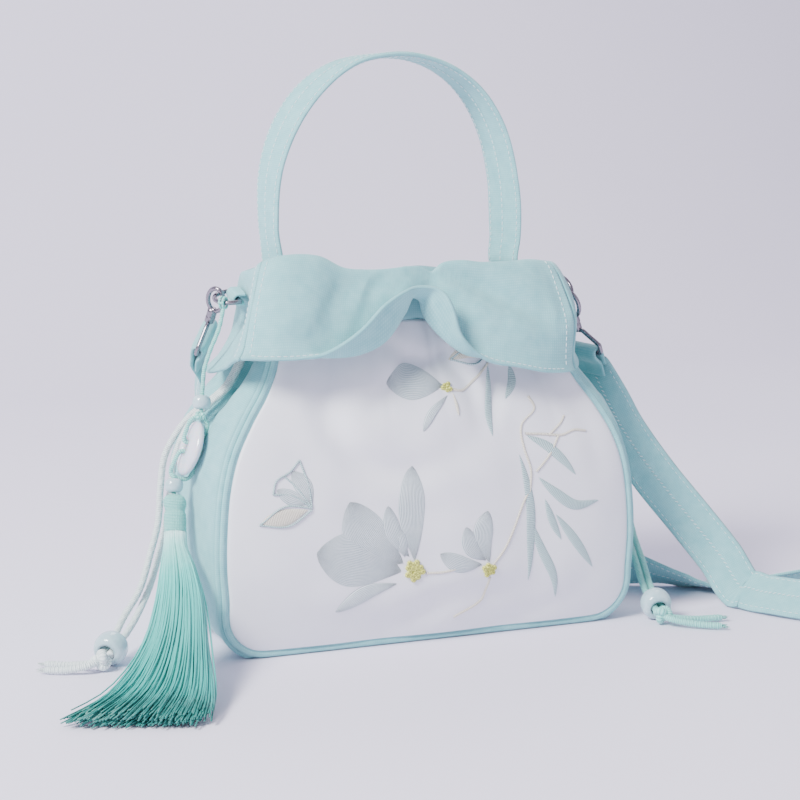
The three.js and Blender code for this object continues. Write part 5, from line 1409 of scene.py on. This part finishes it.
# %% Tassel threads
THREADS, THREAD_STATIONS, SILK_RADIUS = 950, 20, 0.42
turn = rng.uniform(0, 2 * np.pi, THREADS)
share = np.sqrt(rng.uniform(0.05, 1.0, THREADS))
lines = tassel_lines(turn, share, 5, 12, THREAD_STATIONS)
down = np.linspace(0, 1, THREAD_STATIONS)
loose = down[None, :, None] ** 1.5  # threads stray more towards the foot
lines += loose * rng.normal(0, 1.3, (THREADS, 1, 3)) * [1, 1, 0.25]
lines += loose * 0.7 * np.sin(9 * down[None, :, None] + rng.uniform(0, 6, (THREADS, 1, 3)))
cut = rng.uniform(0.93, 1.0, THREADS)
for k in range(THREADS):
    lines[k] = spline(lines[k], down * cut[k])
lines[..., 2] = np.maximum(lines[..., 2], SILK_RADIUS + 0.03)
points, faces, _ = sweep(lines, SILK_RADIUS, 4)
dyed = np.repeat((cut[:, None] * down)[..., None], 4, 2).ravel()
shape = (points, faces, np.stack([0 * dyed, dyed], 1))
build("silk_tassel_threads", shape, SILK, "tassel_silk", ["tassel"])
print("threads", THREADS, "faces", len(faces))

# %% Tassel head and wrap
HEAD_THREADS, WRAP_TURNS, TURN_STATIONS, WRAP_RADIUS = 40, 26, 24, TASSEL_SPREAD * 0.165
head = tassel_lines(circle(HEAD_THREADS), np.full(HEAD_THREADS, 0.93), 0, 6, 40)
build("silk_tassel_head", sweep(head, 0.5, 6), WRAP_SILK, "tassel_silk")
t = np.linspace(0, 1, WRAP_TURNS * TURN_STATIONS)
centre = read_off(t, np.linspace(0, 1, 3), middles[4:7])
angle = t * WRAP_TURNS * 2 * np.pi
coil = (centre + TASSEL_WIDE * (WRAP_RADIUS * np.cos(angle))[:, None]
        + np.cross(UP, TASSEL_WIDE) * (WRAP_RADIUS * np.sin(angle))[:, None])
core = sweep(centre[::TURN_STATIONS], WRAP_RADIUS, 24)
build("silk_tassel_wrap", joined([sweep(coil, 0.34, 8), core]), WRAP_SILK, "tassel_silk")
print("wrap turns", WRAP_TURNS)


# %% [markdown]
# ## Embroidery
# The flowers are satin stitch: floss laid side by side across a shape, slightly
# domed over its padding. Each petal or leaf is a spine on the satin with a
# width along it, raised in a low dome. Texture lines are the floss: they run
# along a petal and across a leaf.

# %% Lay a shape on the satin
LEAN_FROM, LEAN_TO, LEAN_ASIDE, LEAN_DOWN = 96, 130, 6, 3


def on_face(x, z, lift, step=0.5):
    """Places on the front, lifted off the cloth by so many millimetres."""
    # the drawing was laid out flat; the cloth leans back at the top, which moves it
    lean = smooth(z, LEAN_FROM, LEAN_TO)
    x, z = x + LEAN_ASIDE * lean, z - LEAN_DOWN * lean
    y = -face_depth(x, z)
    dx = -(face_depth(x + step, z) - face_depth(x - step, z)) / (2 * step)
    dz = -(face_depth(x, z + step) - face_depth(x, z - step)) / (2 * step)
    normal = unit(np.stack([dx, -np.ones_like(x), dz], -1))
    return np.stack([x, y, z], -1) + normal * np.asarray(lift)[..., None]


def stitched(spine, width, height=0.75, form="petal", count=26, across=11):
    """The shape of a raised satin-stitch form along a spine of (x, z) places."""
    line = evenly(upright(spine), count)
    t = np.linspace(0, 1, count)
    if form == "petal":
        half = width / 2 * (np.sin(np.pi * t ** 1.25) ** 0.75 * 0.96 + 0.04)
    elif form == "leaf":
        half = width / 2 * (np.sin(np.pi * t) ** 0.8 * 0.97 + 0.03)
    else:
        half = np.full(count, width / 2)
    along = unit(np.gradient(line, axis=0))
    s = np.linspace(-1, 1, across)
    x = line[:, None, 0] - along[:, None, 2] * half[:, None] * s
    z = line[:, None, 2] + along[:, None, 0] * half[:, None] * s
    dome = height * (1 - s**2) ** 0.5 * (half / half.max())[:, None] ** 0.5 + 0.05
    points = on_face(x, z, dome).reshape(-1, 3)
    run = np.linspace(0, line_length(line), count)
    uv = np.stack(np.broadcast_arrays(s * width, run[:, None]), -1)
    return points, quads(count, across)[:, ::-1].tolist(), uv.reshape(-1, 2)


def petal(base, tip, width, bend):
    """The shape of a petal from base to tip, bent to one side."""
    base, tip = np.array(base, float), np.array(tip, float)
    across = np.array([-(tip - base)[1], (tip - base)[0]])
    return stitched([base, (base + tip) / 2 + across * bend, tip], width)


def embroider(name, parts, finish):
    build(name, joined(parts), finish, "satin")
    print(name, len(parts))


# %% Flowers
embroider("embroidered_petals", [
    petal((-15, 44), (-14, 89), 14, 0.03), petal((-18, 46), (-28, 71), 9, 0.1),
    petal((-21, 43), (-47, 74), 22, 0.12), petal((-22, 39), (-64, 51), 27, -0.02),
    petal((-24, 33), (-54, 21), 8, -0.08), petal((-20, 46), (-23, 60), 7, 0.0),
    petal((24, 40), (24, 65), 11, 0.12), petal((22, 41), (12, 58), 9, 0.15),
    petal((20, 39), (-2, 46), 9, 0.10), petal((0, 129), (-28, 131), 17, -0.03),
    petal((2, 124), (-9, 106), 5, -0.1), petal((-66, 74), (-74, 90), 9, -0.06),
    petal((-67, 75), (-82, 82), 7, 0.05),
], PETAL)
embroider("embroidered_cream_shapes", [
    petal((-68, 72), (-90, 67), 8, 0.02), petal((8, 140), (28, 143), 7, 0.15),
    petal((5, 125), (9, 113), 1.6, 0.0),
], STEM)
embroider("embroidered_outlines", [stitched(spine, 0.9, 0.85, "stem", 40) for spine in [
    [(-66, 73), (-67, 84), (-70, 95)], [(-66, 73), (-73, 83), (-78, 88)],
    [(-66, 73), (-75, 79), (-84, 80)], [(-70, 95), (-75, 90), (-82, 86), (-84, 80)],
    [(-66, 73), (-79, 74), (-91, 66)], [(-66, 72), (-77, 65), (-91, 66)],
    [(9, 140), (18, 146), (28, 143)], [(9, 140), (20, 138), (28, 143)],
]], LEAF)


# %% Leaves and stems
embroider("embroidered_leaves", [stitched(spine, width, 0.6, "leaf") for spine, width in [
    ([(27, 137), (26, 127), (26, 115), (29, 101)], 4.5), ([(39, 137), (39, 129), (35, 120)], 4.0),
    ([(48, 100), (59, 94), (68, 86), (74, 79)], 5.0),
    ([(53, 79), (62, 71), (73, 64), (87, 65)], 5.5),
    ([(43, 91), (46, 79), (48, 63), (47, 28)], 5.0),
    ([(48, 58), (54, 43), (61, 29), (64, 17)], 5.0), ([(56, 68), (60, 57), (65, 47)], 4.0),
    ([(62, 60), (73, 46), (84, 31)], 5.0),
]], LEAF)
embroider("embroidered_stems", [stitched(spine, 1.3, 0.55, "stem", 60) for spine in [
    [(4, 127), (12, 126), (20, 132), (27, 138)],
    [(47, 121), (51, 114), (45, 106), (46, 94), (49, 83), (48, 73)],
    [(48, 73), (45, 69), (34, 47), (23, 35)],
    [(47, 101), (58, 100), (68, 99), (75, 101), (82, 100)], [(60, 99), (67, 105), (69, 109)],
    [(66, 99), (60, 90), (52, 82)], [(25, 32), (24, 26), (22, 20), (8, 12)],
    [(-9, 37), (0, 37), (10, 39)],
]], STEM)


# %% [markdown]
# ## Knotted centres
# Flower centres are French knots: thread wound round the needle and pulled
# tight, so each is a small bead of thread. Each is one thick closed round of
# thread here, and a cluster of them fills a disc.

# %% Flower centres
SEED_TURN = 2.4  # radians from one knot to the next, which fills a disc evenly


def french_knot(x, z, size):
    """One turn of thread that lies on the satin, almost closed in the middle."""
    place, a = on_face(np.array([x]), np.array([z]), 0.5), circle(10)
    line = place + np.stack([np.cos(a), 0.15 * np.sin(a * 2), np.sin(a)], 1) * size * 0.45
    return sweep(line, size * 0.5, 7, ring=True, facing=np.array([0, 1.0, 0]))


# middle x and z, how many knots, spread, size
CENTRES = [(-15, 39, 16, 4.6, 1.6), (24, 36, 10, 3.0, 1.5), (2, 128, 6, 2.2, 1.4)]
seeds = []
for x, z, count, widest, size in CENTRES:
    for k in range(count):
        r, a = widest * math.sqrt((k + 0.5) / count), k * SEED_TURN
        seeds.append(french_knot(x + r * math.cos(a), z + r * math.sin(a), size))
embroider("embroidered_centres", seeds, CENTRE)

# %% [markdown]
# ## Floor and light
# The purse stands on a plain pale lavender-grey sheet that curves up behind.
# One large soft light from the upper left, weaker ones from the right and from
# behind, and a bright surround give the soft shadows of a light tent.

# %% Floor
def sheet_of_paper(tree):
    return {"Base Color": between(tree, speckle(tree, 400.0, 1.0), "#E6E1F2", "#ECE8F6")}


PAPER = material("paper_backdrop_matt", sheet_of_paper, Roughness=0.95, Specular_IOR_Level=0.1)
NEAR, BEND_AT, BEND_RADIUS, HALF_SHEET, SHEET_TOP = -3000, 900, 700, 4000, 3500
bend = np.linspace(0.1, math.pi / 2, 14)
WALL = BEND_AT + BEND_RADIUS
sheet_y = np.r_[np.linspace(NEAR, BEND_AT, 20), BEND_AT + BEND_RADIUS * np.sin(bend), WALL]
sheet_z = np.r_[np.zeros(20), BEND_RADIUS * (1 - np.cos(bend)), SHEET_TOP]
floor_mesh = bpy.data.meshes.new("paper_floor")
floor_points = [(x * MM, y * MM, z * MM) for x in (-HALF_SHEET, HALF_SHEET)
                for y, z in zip(sheet_y, sheet_z)]
floor_mesh.from_pydata(floor_points, [], quads(2, len(sheet_y)).tolist())
floor_mesh.polygons.foreach_set("use_smooth", [True] * len(floor_mesh.polygons))
floor_mesh.materials.append(PAPER)
floor = bpy.data.objects.new("paper_floor", floor_mesh)
bpy.context.scene.collection.objects.link(floor)
print("floor points", len(floor_points))

# %% Light
AIM = np.array([0.0, 0.0, 0.1])
WORLD_COLOUR, WORLD_STRENGTH = "#E4DFF5", 0.74


def area_light(name, place, power, size, tone="#FFFFFF"):
    data = bpy.data.lights.new(name, "AREA")
    data.energy, data.size, data.color = power, size, colour(tone)[:3]
    light = bpy.data.objects.new(name, data)
    light.location = place
    x, y, z = AIM - np.array(place)
    light.rotation_euler = (math.atan2(math.hypot(x, y), -z), 0, math.atan2(-x, y))
    bpy.context.scene.collection.objects.link(light)


area_light("key", (-1.5, -0.7, 1.5), power=98, size=0.7)
area_light("fill", (1.5, -1.2, 1.1), power=8, size=1.6, tone="#F4F6FF")
area_light("rim", (0.6, 1.2, 1.6), power=14, size=1.0)
world = bpy.data.worlds.new("soft_surround")
world.use_nodes = True
sky = world.node_tree.nodes["Background"].inputs
sky[0].default_value, sky[1].default_value = colour(WORLD_COLOUR), WORLD_STRENGTH
bpy.context.scene.world = world
print("lights:", len(bpy.data.lights))
